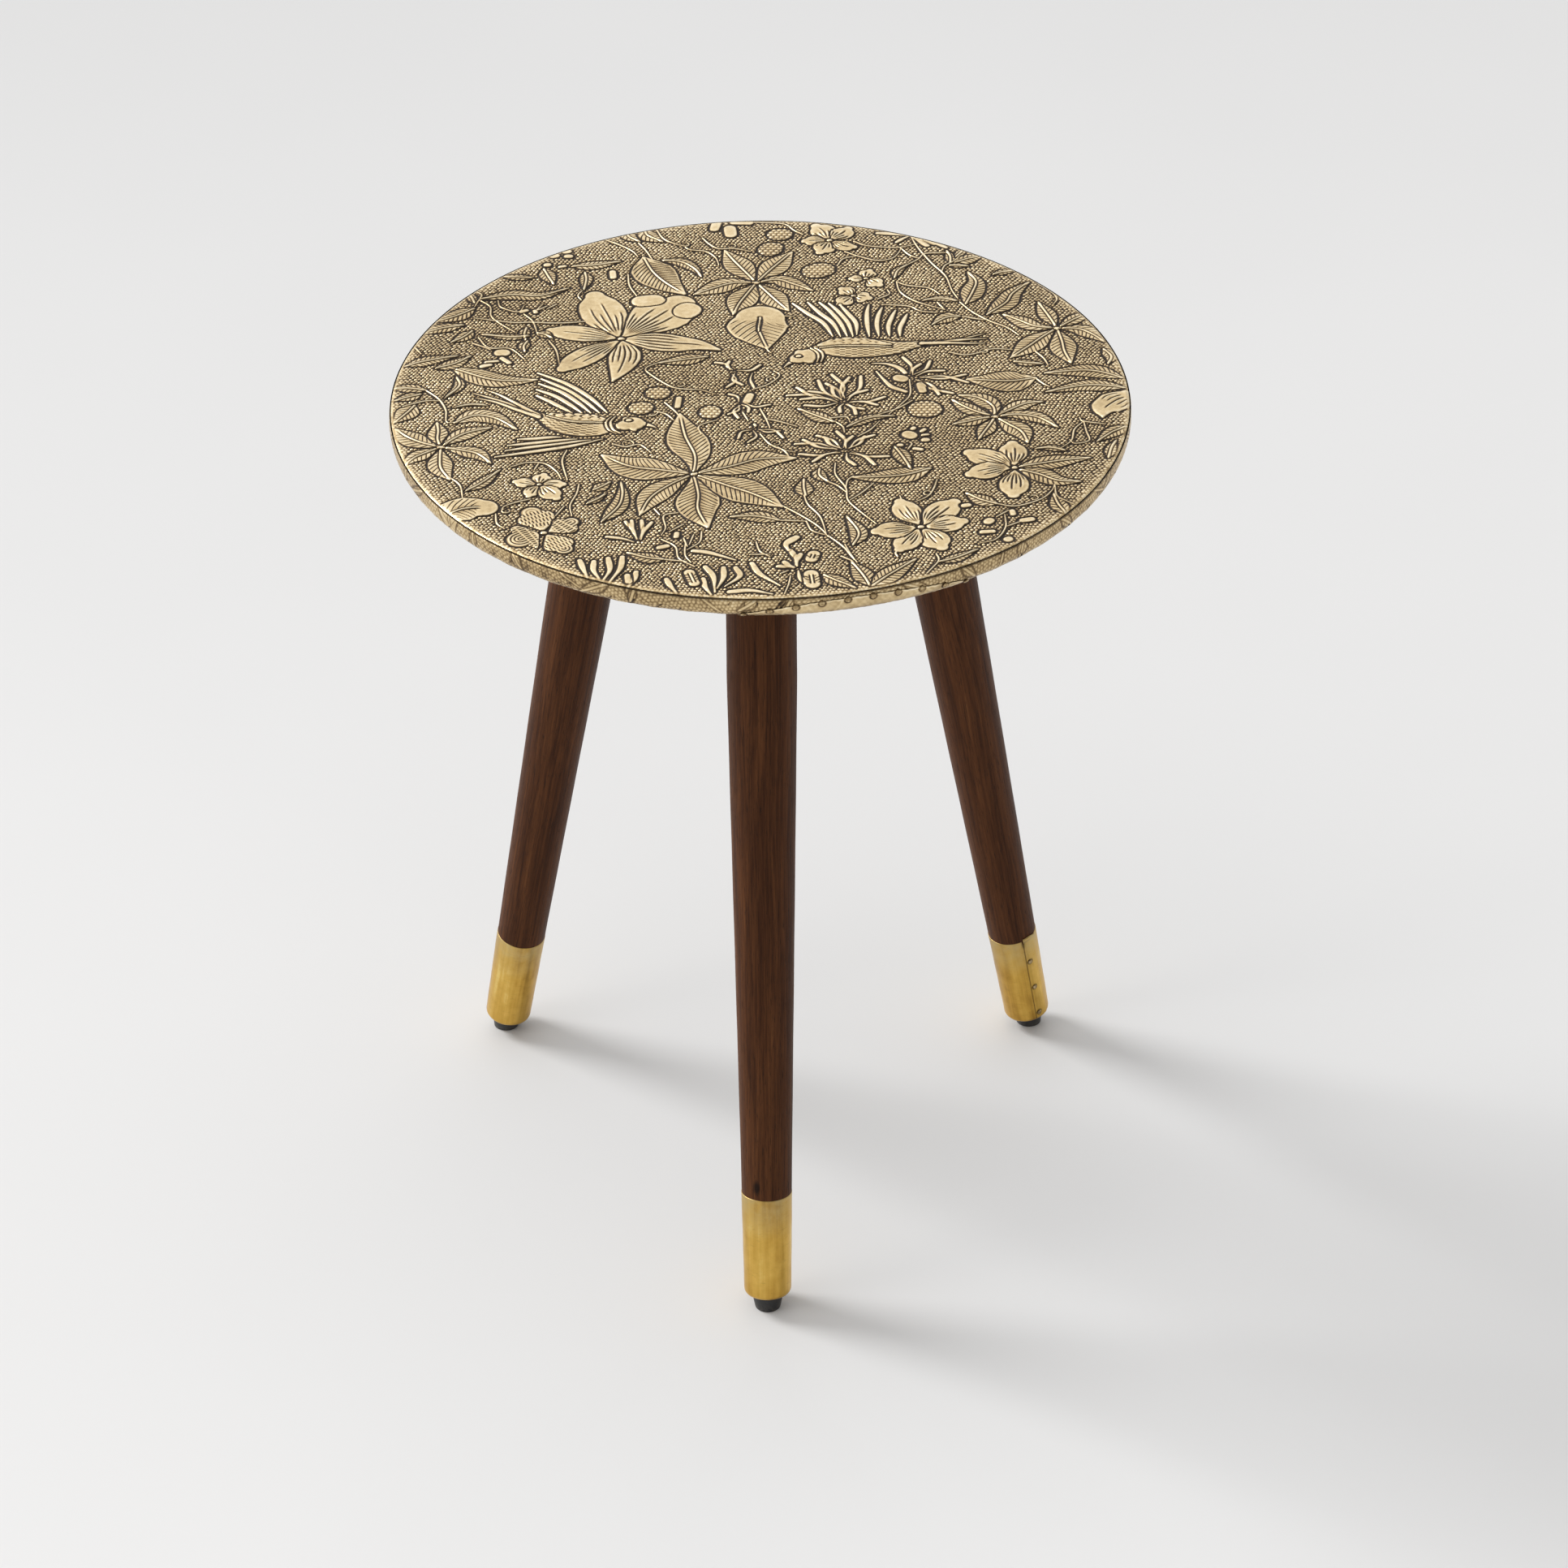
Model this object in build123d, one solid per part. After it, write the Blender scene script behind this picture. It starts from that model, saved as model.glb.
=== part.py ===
"""Round side table: an embossed brass sheet over a wooden core, on three splayed legs that screw into angled plates.

Millimetres, +Z up. The origin is on the floor below the middle of the top, and the front leg stands towards -Y.
Each leg is made along its own axis, with the point where that axis meets the floor as local zero.
"""

from build123d import *
import os
from math import asin, cos, degrees, radians, sin, sqrt, tan

# Overall sizes
table_height = 457.0
top_diameter = 381.0

# Tabletop: a board, wrapped in sheet brass that turns under it
core_thickness = 11.0
sheet_thickness = 0.5
embossing_height = 1.0
top_edge_radius = 1.5
low_edge_radius = 6.5
hem_width = 15.0
slit_width = 0.8
slit_step = 12.0
slit_lean = 8.0
slit_height = 4.5
tack_from_hem_edge = 3.5
tack_head_diameter = 5.0
tack_head_height = 1.0
tack_shank_diameter = 1.6
tack_length = 9.0

# Brass patch that makes up the sheet's short edge, low on the rim at the front right
patch_thickness = 0.4
patch_middle = -75.0
patch_top_below_table = 3.5
patch_cut_angle = 35.0
patch_nail_count = 10
patch_nail_span = 35.0
patch_nail_below_edge = 1.0
patch_nail_steepest = 50.0
nail_spin = 40.0
patch_nail_head_diameter = 3.0
patch_nail_head_height = 0.4
patch_nail_shank_diameter = 1.2
patch_nail_length = 8.0

# Legs
leg_splay = 10.6
foot_radius = 170.0
leg_azimuths = {"front": -90.0, "left": 150.0, "right": 30.0}
leg_top_diameter = 36.0
leg_foot_diameter = 24.4
leg_straight_length = 85.0
leg_top_round = 1.5

# Ferrules: rolled brass sleeves with a nailed lap
ferrule_low = 8.0
ferrule_high = 68.0
ferrule_thickness = 0.5
ferrule_proud = 0.15
ferrule_foot_round = 3.0
ferrule_mouth_diameter = 16.0
lap_thickness = 0.4
lap_width = 9.0
lap_rise = 1.8
lap_glide_gap = 0.3
lap_azimuths = {"front": 165.0, "left": -60.0, "right": -94.5}
lap_nail_levels = (14.0, 33.0, 52.0)
lap_nail_from_edge = 2.2
lap_nail_head_diameter = 2.6
lap_nail_head_height = 0.7
lap_nail_shank_diameter = 1.0
lap_nail_length = 7.0

# Foot glides: plastic cones, each held by a steel nail
glide_top_diameter = 17.0
glide_slope = 0.22
glide_spigot_clearance = 0.1
glide_nail_head_diameter = 7.0
glide_nail_head_height = 1.2
glide_nail_head_above_floor = 3.4
glide_nail_shank_diameter = 2.4
glide_nail_depth_in_wood = 16.0

# Leg plates and their screws
plate_width = 60.0
plate_thickness = 2.5
plate_corner_radius = 8.0
plate_hole_spacing = 44.0
boss_diameter = 20.0
leg_gap_under_plate = 0.4
screw_diameter = 4.0
screw_hole_clearance = 0.25
screw_head_diameter = 8.0
screw_head_height = 2.4
screw_clear_of_sheet = 2.0
screw_depth_in_core = core_thickness - screw_clear_of_sheet
screw_recess_width = 1.0
screw_recess_length = 4.4
screw_recess_depth = 1.2

# Hanger bolts: machine thread in the plate, wood thread in the leg
bolt_diameter = 8.0
bolt_running_clearance = 0.05
machine_pitch = 1.25
machine_thread_length = 10.0
machine_thread_depth = 0.7
wood_pitch = 2.5
wood_thread_length = 30.0
wood_thread_depth = 0.9
bolt_plain_length = 3.75
bolt_tip_length = 3.0
bolt_hole_spare_depth = 1.5
core_hole_clearance = 1.0

# Worked out from the sizes above
top_radius = top_diameter / 2
board_thickness = core_thickness + 2 * sheet_thickness + embossing_height
underside = table_height - board_thickness
core_bottom = underside + sheet_thickness
core_top = core_bottom + core_thickness
hem_inner_radius = top_radius - low_edge_radius - hem_width
plate_bottom = core_bottom - plate_thickness
leg_rise_at_edge = leg_top_diameter / 2 * sin(radians(leg_splay))
leg_top_height = plate_bottom - leg_rise_at_edge - leg_gap_under_plate
leg_length = leg_top_height / cos(radians(leg_splay))
plate_middle = foot_radius - (core_bottom - plate_thickness / 2) * tan(radians(leg_splay))
bolt_bore_radius = bolt_diameter / 2 + bolt_running_clearance
bolt_depth_in_leg = bolt_plain_length + wood_thread_length + bolt_tip_length
far = 4 * (table_height + top_diameter)


def lathe(edges, arc=360):
    """A solid turned about Z from a closed outline in the X-Z plane."""
    return revolve(Plane.XZ * make_face(edges), Axis.Z, arc)


def turned(points, arc=360):
    """A solid turned about Z from the corners of its half section."""
    return lathe(Polyline(*points, close=True).edges(), arc)


def nail(head_diameter, head_height, shank_diameter, length, crown=0.35):
    """A nail with a domed head that rests on Z = 0, and its shank running down to a blunt point."""
    head, shank = head_diameter / 2, shank_diameter / 2
    rise = head_height * crown
    rim = head_height - rise
    dome = (head**2 + rise**2) / (2 * rise)
    halfway = (head / 2, head_height - dome + sqrt(dome**2 - (head / 2) ** 2))
    outline = [
        Line((0, -length), (shank * 0.3, -length)),
        Line((shank * 0.3, -length), (shank, -length * 0.82)),
        Line((shank, -length * 0.82), (shank, 0)),
        Line((shank, 0), (head, 0)),
        Line((head, 0), (head, rim)),
        ThreePointArc((head, rim), halfway, (0, head_height)),
        Line((0, head_height), (0, -length)),
    ]
    return lathe(outline)


def save(shape, node):
    export_step(shape, f"parts/{node}.step")


def half_space_below(height):
    """Everything lower than a height, as a block."""
    return Pos(0, 0, height - far / 2) * Box(far, far, far)


# ---- Tabletop ----


def rim_side(inset):
    """The edges from the top of the rim's straight side, round its lower curve and in to the hem's end."""
    side = top_radius - inset
    curve_start, curve_end = underside + low_edge_radius, top_radius - low_edge_radius
    return [
        Line((side, table_height - top_edge_radius), (side, curve_start)),
        CenterArc((curve_end, curve_start), low_edge_radius - inset, 270, 90),
        Line((curve_end, underside + inset), (hem_inner_radius, underside + inset)),
    ]


def rim_band(thickness):
    """A layer of that thickness outside the rim's side and lower curve, as far as the hem's end."""
    ends = [
        Line((top_radius, table_height - top_edge_radius), (top_radius + thickness, table_height - top_edge_radius)),
        Line((hem_inner_radius, underside), (hem_inner_radius, underside - thickness)),
    ]
    return lathe(rim_side(0) + rim_side(-thickness) + ends)


def wrapped_board():
    """The whole top as one solid: the board and the brass round it, open under the middle of the board."""
    shoulder = top_radius - top_edge_radius
    edges = [
        Line((0, table_height), (shoulder, table_height)),
        CenterArc((shoulder, table_height - top_edge_radius), top_edge_radius, 0, 90),
        Line((hem_inner_radius, underside), (hem_inner_radius, core_bottom)),
        Line((hem_inner_radius, core_bottom), (0, core_bottom)),
        Line((0, core_bottom), (0, table_height)),
    ]
    return lathe(edges + rim_side(0))


def board():
    """The wooden core, square at its top edge and rounded below."""
    side, curve_end = top_radius - sheet_thickness, top_radius - low_edge_radius
    curve_start = underside + low_edge_radius
    edges = [
        Line((0, core_top), (side, core_top)),
        Line((side, core_top), (side, curve_start)),
        CenterArc((curve_end, curve_start), low_edge_radius - sheet_thickness, 270, 90),
        Line((curve_end, core_bottom), (0, core_bottom)),
        Line((0, core_bottom), (0, core_top)),
    ]
    return lathe(edges)


def low_curve_point(angle):
    """Radius and height on the rim's lower curve, at an angle below the horizontal."""
    radius = top_radius - low_edge_radius * (1 - cos(radians(angle)))
    return radius, underside + low_edge_radius * (1 - sin(radians(angle)))


def patch_nail_point(turn):
    """Radius, height and slope of the rim where a patch nail stands, at a turn from the patch's middle."""
    fall = tan(radians(patch_cut_angle)) * top_radius * (1 - cos(radians(turn)))
    drop = patch_top_below_table + patch_nail_below_edge + fall
    if drop < board_thickness - low_edge_radius:
        return top_radius, table_height - drop, 0.0
    share = min((drop - board_thickness + low_edge_radius) / low_edge_radius, sin(radians(patch_nail_steepest)))
    angle = degrees(asin(share))
    return *low_curve_point(angle), angle


def patch_nail_places():
    """Where the patch's nails stand on its outer face, each driven in square to the rim."""
    for i in range(patch_nail_count):
        turn = patch_nail_span * (i / (patch_nail_count - 1) - 0.5)
        radius, height, slope = patch_nail_point(turn)
        stand = Pos(radius, 0, height) * Rot(0, 90 + slope, 0) * Pos(0, 0, patch_thickness) * Rot(0, 0, nail_spin)
        yield Rot(0, 0, patch_middle + turn) * stand


def underside_turns():
    """The places round the hem, one slit or tack apart."""
    return [i * slit_step for i in range(round(360 / slit_step))]


def off_the_patch(turn):
    """True where the rim is clear of the patch."""
    return abs((turn - patch_middle + 180) % 360 - 180) > patch_nail_span / 2 + slit_step / 2


def patch_blank():
    """The brass patch, cut off at a slant so that its edge rises and falls along the rim."""
    edge = Pos(top_radius, 0, table_height - patch_top_below_table)
    below = edge * Rot(0, -patch_cut_angle, 0) * Pos(0, 0, -far / 2) * Box(far, far, far)
    return Rot(0, 0, patch_middle) * (rim_band(patch_thickness) & below)


def patch_nails():
    shape = nail(patch_nail_head_diameter, patch_nail_head_height, patch_nail_shank_diameter, patch_nail_length)
    return [place * shape for place in patch_nail_places()]


def hem_tacks():
    radius = hem_inner_radius + tack_from_hem_edge
    shape = nail(tack_head_diameter, tack_head_height, tack_shank_diameter, tack_length)
    return [Rot(0, 0, turn) * Pos(radius, 0, underside) * Rot(180, 0, 0) * shape for turn in underside_turns()]


def hem_slits():
    """Thin leaning blocks that slit the hem where the sheet is gathered round the rim."""
    length = hem_width + low_edge_radius
    blade = Box(2 * length, slit_width, 2 * slit_height)
    at_rim = Pos(hem_inner_radius, 0, underside) * Rot(0, 0, slit_lean)
    turns = [t + slit_step / 2 for t in underside_turns() if off_the_patch(t + slit_step / 2)]
    return [Rot(0, 0, turn) * at_rim * blade for turn in turns]


def leg_plates_on_top(azimuth):
    """What stands under the board for one leg: its plate, four screws and the holes they need."""
    centre = Rot(0, 0, azimuth) * Pos(plate_middle, 0, core_bottom)
    corners = GridLocations(plate_hole_spacing, plate_hole_spacing, 2, 2)
    slab = Pos(0, 0, -plate_thickness / 2) * Box(plate_width, plate_width, plate_thickness)
    slab = fillet(slab.edges().filter_by(Axis.Z), plate_corner_radius)
    hole = Cylinder(screw_diameter / 2 + screw_hole_clearance, 4 * plate_thickness)
    slab -= [corner * hole for corner in corners]
    axis = leg_place(azimuth)
    boss = axis * Pos(0, 0, leg_length + plate_thickness * 2) * Cylinder(boss_diameter / 2, 4 * plate_thickness)
    boss = boss & half_space_below(plate_bottom)
    bore = axis * Pos(0, 0, leg_length) * Cylinder(bolt_bore_radius, far / 10)
    plate = (centre * slab + boss) - bore
    screws = [centre * corner * Pos(0, 0, -plate_thickness) * Rot(180, 0, 0) * plate_screw() for corner in corners]
    return plate, screws


def plate_screw():
    """A pan-head wood screw with a cross recess, its head resting on Z = 0 and its shank running down."""
    length = plate_thickness + screw_depth_in_core
    shape = nail(screw_head_diameter, screw_head_height, screw_diameter, length, crown=0.5)
    recess = Box(screw_recess_length, screw_recess_width, 2 * screw_recess_depth)
    recess += Rot(0, 0, 90) * recess
    return shape - Pos(0, 0, screw_head_height) * recess


# ---- Legs ----


def leg_place(azimuth):
    """Carries a leg's own axis to its place: the foot out at its radius, leaning in towards the top."""
    return Rot(0, 0, azimuth) * Pos(foot_radius, 0, 0) * Rot(0, -leg_splay, 0)


def leg_radius(level):
    """The leg's outer radius at a level along its axis: a long taper below a straight head."""
    taper_end = leg_length - leg_straight_length
    share = min(level / taper_end, 1.0)
    return (leg_foot_diameter + (leg_top_diameter - leg_foot_diameter) * share) / 2


def sleeve_outline(inset, mouth):
    """The ferrule's half section from its top edge down the taper and round its foot, an inset inside its face."""
    proud = ferrule_proud - inset
    round_over = ferrule_foot_round - inset
    corner_level = ferrule_low + ferrule_foot_round
    corner = leg_radius(corner_level) + proud
    centre = corner - round_over
    return [
        Line((leg_radius(ferrule_high) + proud, ferrule_high), (corner, corner_level)),
        CenterArc((centre, corner_level), round_over, 270, 90),
        Line((centre, ferrule_low + inset), (mouth, ferrule_low + inset)),
    ]


def sleeve_layer(inner, outer, mouth_diameter, arc=360):
    """A layer of the ferrule between two insets, in to its mouth."""
    top_in = leg_radius(ferrule_high) + ferrule_proud - inner
    top_out = leg_radius(ferrule_high) + ferrule_proud - outer
    mouth = mouth_diameter / 2
    ends = [
        Line((top_in, ferrule_high), (top_out, ferrule_high)),
        Line((mouth, ferrule_low + inner), (mouth, ferrule_low + outer)),
    ]
    return lathe(sleeve_outline(inner, mouth) + sleeve_outline(outer, mouth) + ends, arc)


def ferrule_with_lap(lap_azimuth):
    """A brass sleeve with its overlap raised on the outside, a little higher than the rest at its top edge."""
    at_lap = Rot(0, 0, lap_azimuth)
    lap_angle = degrees(lap_width / leg_radius(ferrule_high))
    lap_mouth = glide_top_diameter + 2 * lap_glide_gap
    low, high = leg_radius(ferrule_high) + ferrule_proud, leg_radius(ferrule_high + lap_rise) + ferrule_proud
    tongue = [
        (low, ferrule_high),
        (low + lap_thickness, ferrule_high),
        (high + lap_thickness, ferrule_high + lap_rise),
        (high, ferrule_high + lap_rise),
    ]
    sleeve = sleeve_layer(ferrule_thickness, 0, ferrule_mouth_diameter)
    lap = sleeve_layer(0, -lap_thickness, lap_mouth, lap_angle)
    return sleeve + at_lap * lap + at_lap * turned(tongue, lap_angle)


def lap_nail_places(lap_azimuth):
    """Where the nails stand on the ferrule's lap, near its open edge."""
    for level in lap_nail_levels:
        radius = leg_radius(level) + ferrule_proud + lap_thickness
        turn = degrees(lap_nail_from_edge / radius)
        yield Rot(0, 0, lap_azimuth + turn) * Pos(radius, 0, level) * Rot(0, 90, 0)


def lap_nails(lap_azimuth):
    shape = nail(lap_nail_head_diameter, lap_nail_head_height, lap_nail_shank_diameter, lap_nail_length)
    return [place * shape for place in lap_nail_places(lap_azimuth)]


def wooden_leg():
    """The turned leg, cut back under the ferrule, with a bore for the hanger bolt."""
    taper_end = leg_length - leg_straight_length
    foot = ferrule_low + ferrule_thickness
    head = leg_top_diameter / 2
    under_sleeve = leg_radius(ferrule_high) + ferrule_proud - ferrule_thickness
    outline = sleeve_outline(ferrule_thickness, 0) + [
        Line((under_sleeve, ferrule_high), (leg_radius(ferrule_high), ferrule_high)),
        Line((leg_radius(ferrule_high), ferrule_high), (head, taper_end)),
        Line((head, taper_end), (head, leg_length - leg_top_round)),
        CenterArc((head - leg_top_round, leg_length - leg_top_round), leg_top_round, 0, 90),
        Line((head - leg_top_round, leg_length), (0, leg_length)),
        Line((0, leg_length), (0, foot)),
    ]
    depth = bolt_depth_in_leg + bolt_hole_spare_depth
    bore = Pos(0, 0, leg_length - depth / 2) * Cylinder(bolt_bore_radius, depth)
    return lathe(outline) - bore


def thread_corners(start, length, pitch, depth, radius):
    """The half section of a thread drawn as a stack of ridges, from its start upwards."""
    corners = []
    for i in range(round(length / pitch)):
        level = start + i * pitch
        corners += [(radius - depth, level), (radius, level + pitch * 0.4), (radius, level + pitch * 0.6)]
    return corners + [(radius - depth, start + length)]


def hanger_bolt():
    """A headless bolt: a pointed wood thread, a plain waist at the leg's top face, and a machine thread above it."""
    radius = bolt_diameter / 2
    tip = leg_length - bolt_depth_in_leg
    wood_start = tip + bolt_tip_length
    waist = leg_length - bolt_plain_length
    corners = [(0, tip)]
    corners += thread_corners(wood_start, wood_thread_length, wood_pitch, wood_thread_depth, radius)
    corners += [(radius, waist + 0.6), (radius, leg_length - 0.6)]
    corners += thread_corners(leg_length, machine_thread_length, machine_pitch, machine_thread_depth, radius)
    corners += [(0, leg_length + machine_thread_length)]
    return turned(corners)


def foot_glide():
    """The plastic cone under the ferrule, with a spigot in its mouth, made over length for the floor to trim."""
    top = glide_top_diameter / 2
    spigot = ferrule_mouth_diameter / 2 - glide_spigot_clearance
    depth = ferrule_low + glide_top_diameter
    corners = [
        (0, ferrule_low + ferrule_thickness),
        (spigot, ferrule_low + ferrule_thickness),
        (spigot, ferrule_low),
        (top, ferrule_low),
        (top - glide_slope * depth, ferrule_low - depth),
        (0, ferrule_low - depth),
    ]
    return turned(corners)


def glide_nail():
    """The steel nail through the glide, pointing up into the leg."""
    length = ferrule_low + ferrule_thickness - glide_nail_head_above_floor + glide_nail_depth_in_wood
    shape = nail(glide_nail_head_diameter, glide_nail_head_height, glide_nail_shank_diameter, length, crown=0.2)
    return Pos(0, 0, glide_nail_head_above_floor) * Rot(180, 0, 0) * shape


def glide_nail_recess():
    """The well in the glide that the nail's head sits at the bottom of."""
    depth = ferrule_low + glide_top_diameter
    return Pos(0, 0, glide_nail_head_above_floor - depth / 2) * Cylinder(glide_nail_head_diameter / 2, depth)


def build_tabletop():
    core = board()
    sheet = wrapped_board() - core - hem_slits()
    patch = patch_blank()
    nails, tacks = patch_nails(), hem_tacks()
    bolt_tip = Cylinder(bolt_diameter / 2 + core_hole_clearance, 2 * machine_thread_length)
    for name, azimuth in leg_azimuths.items():
        plate, screws = leg_plates_on_top(azimuth)
        save(plate, f"leg_plate_{name}")
        save(Compound(children=screws), f"leg_plate_screws_{name}")
        tip_hole = leg_place(azimuth) * Pos(0, 0, leg_length + core_hole_clearance) * bolt_tip
        core -= [*screws, tip_hole]
    save(core - [*nails, *tacks], "tabletop_core")
    save(sheet - [*nails, *tacks], "embossed_brass_sheet")
    save(patch - nails, "rim_patch_strip")
    save(Compound(children=nails), "rim_patch_nails")
    save(Compound(children=tacks), "hem_tacks")


def build_leg(name, azimuth):
    place = leg_place(azimuth)
    lap_azimuth = lap_azimuths[name]
    nails, pin = lap_nails(lap_azimuth), glide_nail()
    wood = wooden_leg() - [*nails, pin]
    ferrule = ferrule_with_lap(lap_azimuth) - nails
    glide = place * (foot_glide() - pin - glide_nail_recess()) - half_space_below(0)
    save(place * wood, f"leg_{name}")
    save(place * ferrule, f"ferrule_{name}")
    save(place * Compound(children=nails), f"ferrule_nails_{name}")
    save(glide, f"foot_glide_{name}")
    save(place * pin, f"glide_nail_{name}")
    save(place * hanger_bolt(), f"hanger_bolt_{name}")


def main():
    os.makedirs("parts", exist_ok=True)
    build_tabletop()
    for name, azimuth in leg_azimuths.items():
        build_leg(name, azimuth)
    print(f"leg length {leg_length:.1f}, plate middle {plate_middle:.1f}, leg top height {leg_top_height:.1f}")


main()
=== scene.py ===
from math import asin, cos, pi, radians, sin, tan

import bpy
import numpy as np
from mathutils import Matrix, Vector


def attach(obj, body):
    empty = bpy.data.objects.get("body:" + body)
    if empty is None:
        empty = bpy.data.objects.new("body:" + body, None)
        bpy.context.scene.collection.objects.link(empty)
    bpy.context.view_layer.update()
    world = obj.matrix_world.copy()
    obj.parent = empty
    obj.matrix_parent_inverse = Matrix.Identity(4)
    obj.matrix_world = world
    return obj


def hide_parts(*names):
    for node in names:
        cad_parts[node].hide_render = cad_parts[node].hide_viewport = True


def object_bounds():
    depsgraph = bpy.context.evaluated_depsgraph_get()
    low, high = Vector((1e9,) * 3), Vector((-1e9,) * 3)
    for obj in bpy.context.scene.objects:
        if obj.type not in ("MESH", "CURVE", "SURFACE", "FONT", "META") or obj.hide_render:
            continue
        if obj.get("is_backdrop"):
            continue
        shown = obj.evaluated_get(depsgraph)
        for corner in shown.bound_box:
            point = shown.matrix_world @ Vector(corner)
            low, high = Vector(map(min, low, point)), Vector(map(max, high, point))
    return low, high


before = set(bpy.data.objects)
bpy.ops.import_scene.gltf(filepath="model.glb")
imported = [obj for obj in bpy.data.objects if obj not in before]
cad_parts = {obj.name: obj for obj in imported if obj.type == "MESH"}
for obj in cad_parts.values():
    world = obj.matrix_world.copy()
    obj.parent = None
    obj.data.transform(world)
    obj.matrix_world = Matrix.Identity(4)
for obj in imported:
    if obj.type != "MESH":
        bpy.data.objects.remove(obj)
cad_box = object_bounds()
MM = 0.001

# Sizes shared with the frame, in millimetres
table_height = 457.0
top_radius = 190.5
board_thickness = 13.0
sheet_thickness = 0.5
relief_height = 1.0
edge_radius = 1.5
low_edge_radius = 6.5
hem_width = 15.0
leg_splay = 10.6
foot_radius = 170.0
leg_azimuths = {"front": -90.0, "left": 150.0, "right": 30.0}
leg_top_diameter = 36.0
leg_foot_diameter = 24.4
leg_straight_length = 85.0
leg_top_height = 438.3
ferrule_low = 8.0
ferrule_high = 68.0
ferrule_proud = 0.15
ferrule_foot_round = 3.0
lap_azimuths = {"front": 165.0, "left": -60.0, "right": -94.5}
lap_width = 9.0
lap_rise = 1.8
lap_nail_levels = (14.0, 33.0, 52.0)
lap_nail_from_edge = 2.2
leg_top_round = 1.5
patch_middle = -75.0
patch_top_below_table = 3.5
patch_cut_angle = 35.0
patch_nail_count = 10
patch_nail_span = 35.0
patch_nail_below_edge = 1.0
patch_nail_steepest = 50.0
leg_length = leg_top_height / cos(radians(leg_splay))

# How finely the relief is drawn and meshed: its grid in millimetres, and the sheet's vertices across the top
relief_cell = 0.26
sheet_columns = 1200


def smooth(low, high, value):
    """0 below low, 1 above high and a smooth step between."""
    share = np.clip((value - low) / (high - low), 0, 1)
    return share * share * (3 - 2 * share)


def bump(value, width):
    """1 at zero, falling away to either side over about a width."""
    return np.exp(-((value / width) ** 2))


# ---- The chased relief: heights over the top, drawn with strokes ----


def flowing(points, step=0.8):
    """A smooth path through points, with each sample's share of the way along."""
    p = np.array(points, float)
    ends = np.vstack([2 * p[0] - p[1], p, 2 * p[-1] - p[-2]])
    pieces = []
    for i in range(len(p) - 1):
        a, b, c, d = ends[i : i + 4]
        count = max(3, int(np.linalg.norm(c - b) / step))
        t = np.linspace(0, 1, count, endpoint=False)[:, None]
        pieces.append(
            0.5 * (2 * b + (c - a) * t + (2 * a - 5 * b + 4 * c - d) * t**2 + (3 * b - a - 3 * c + d) * t**3)
        )
    path = np.vstack(pieces + [p[-1:]])
    run = np.concatenate([[0], np.cumsum(np.linalg.norm(np.diff(path, axis=0), axis=1))])
    return path, run / run[-1], run[-1]


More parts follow.
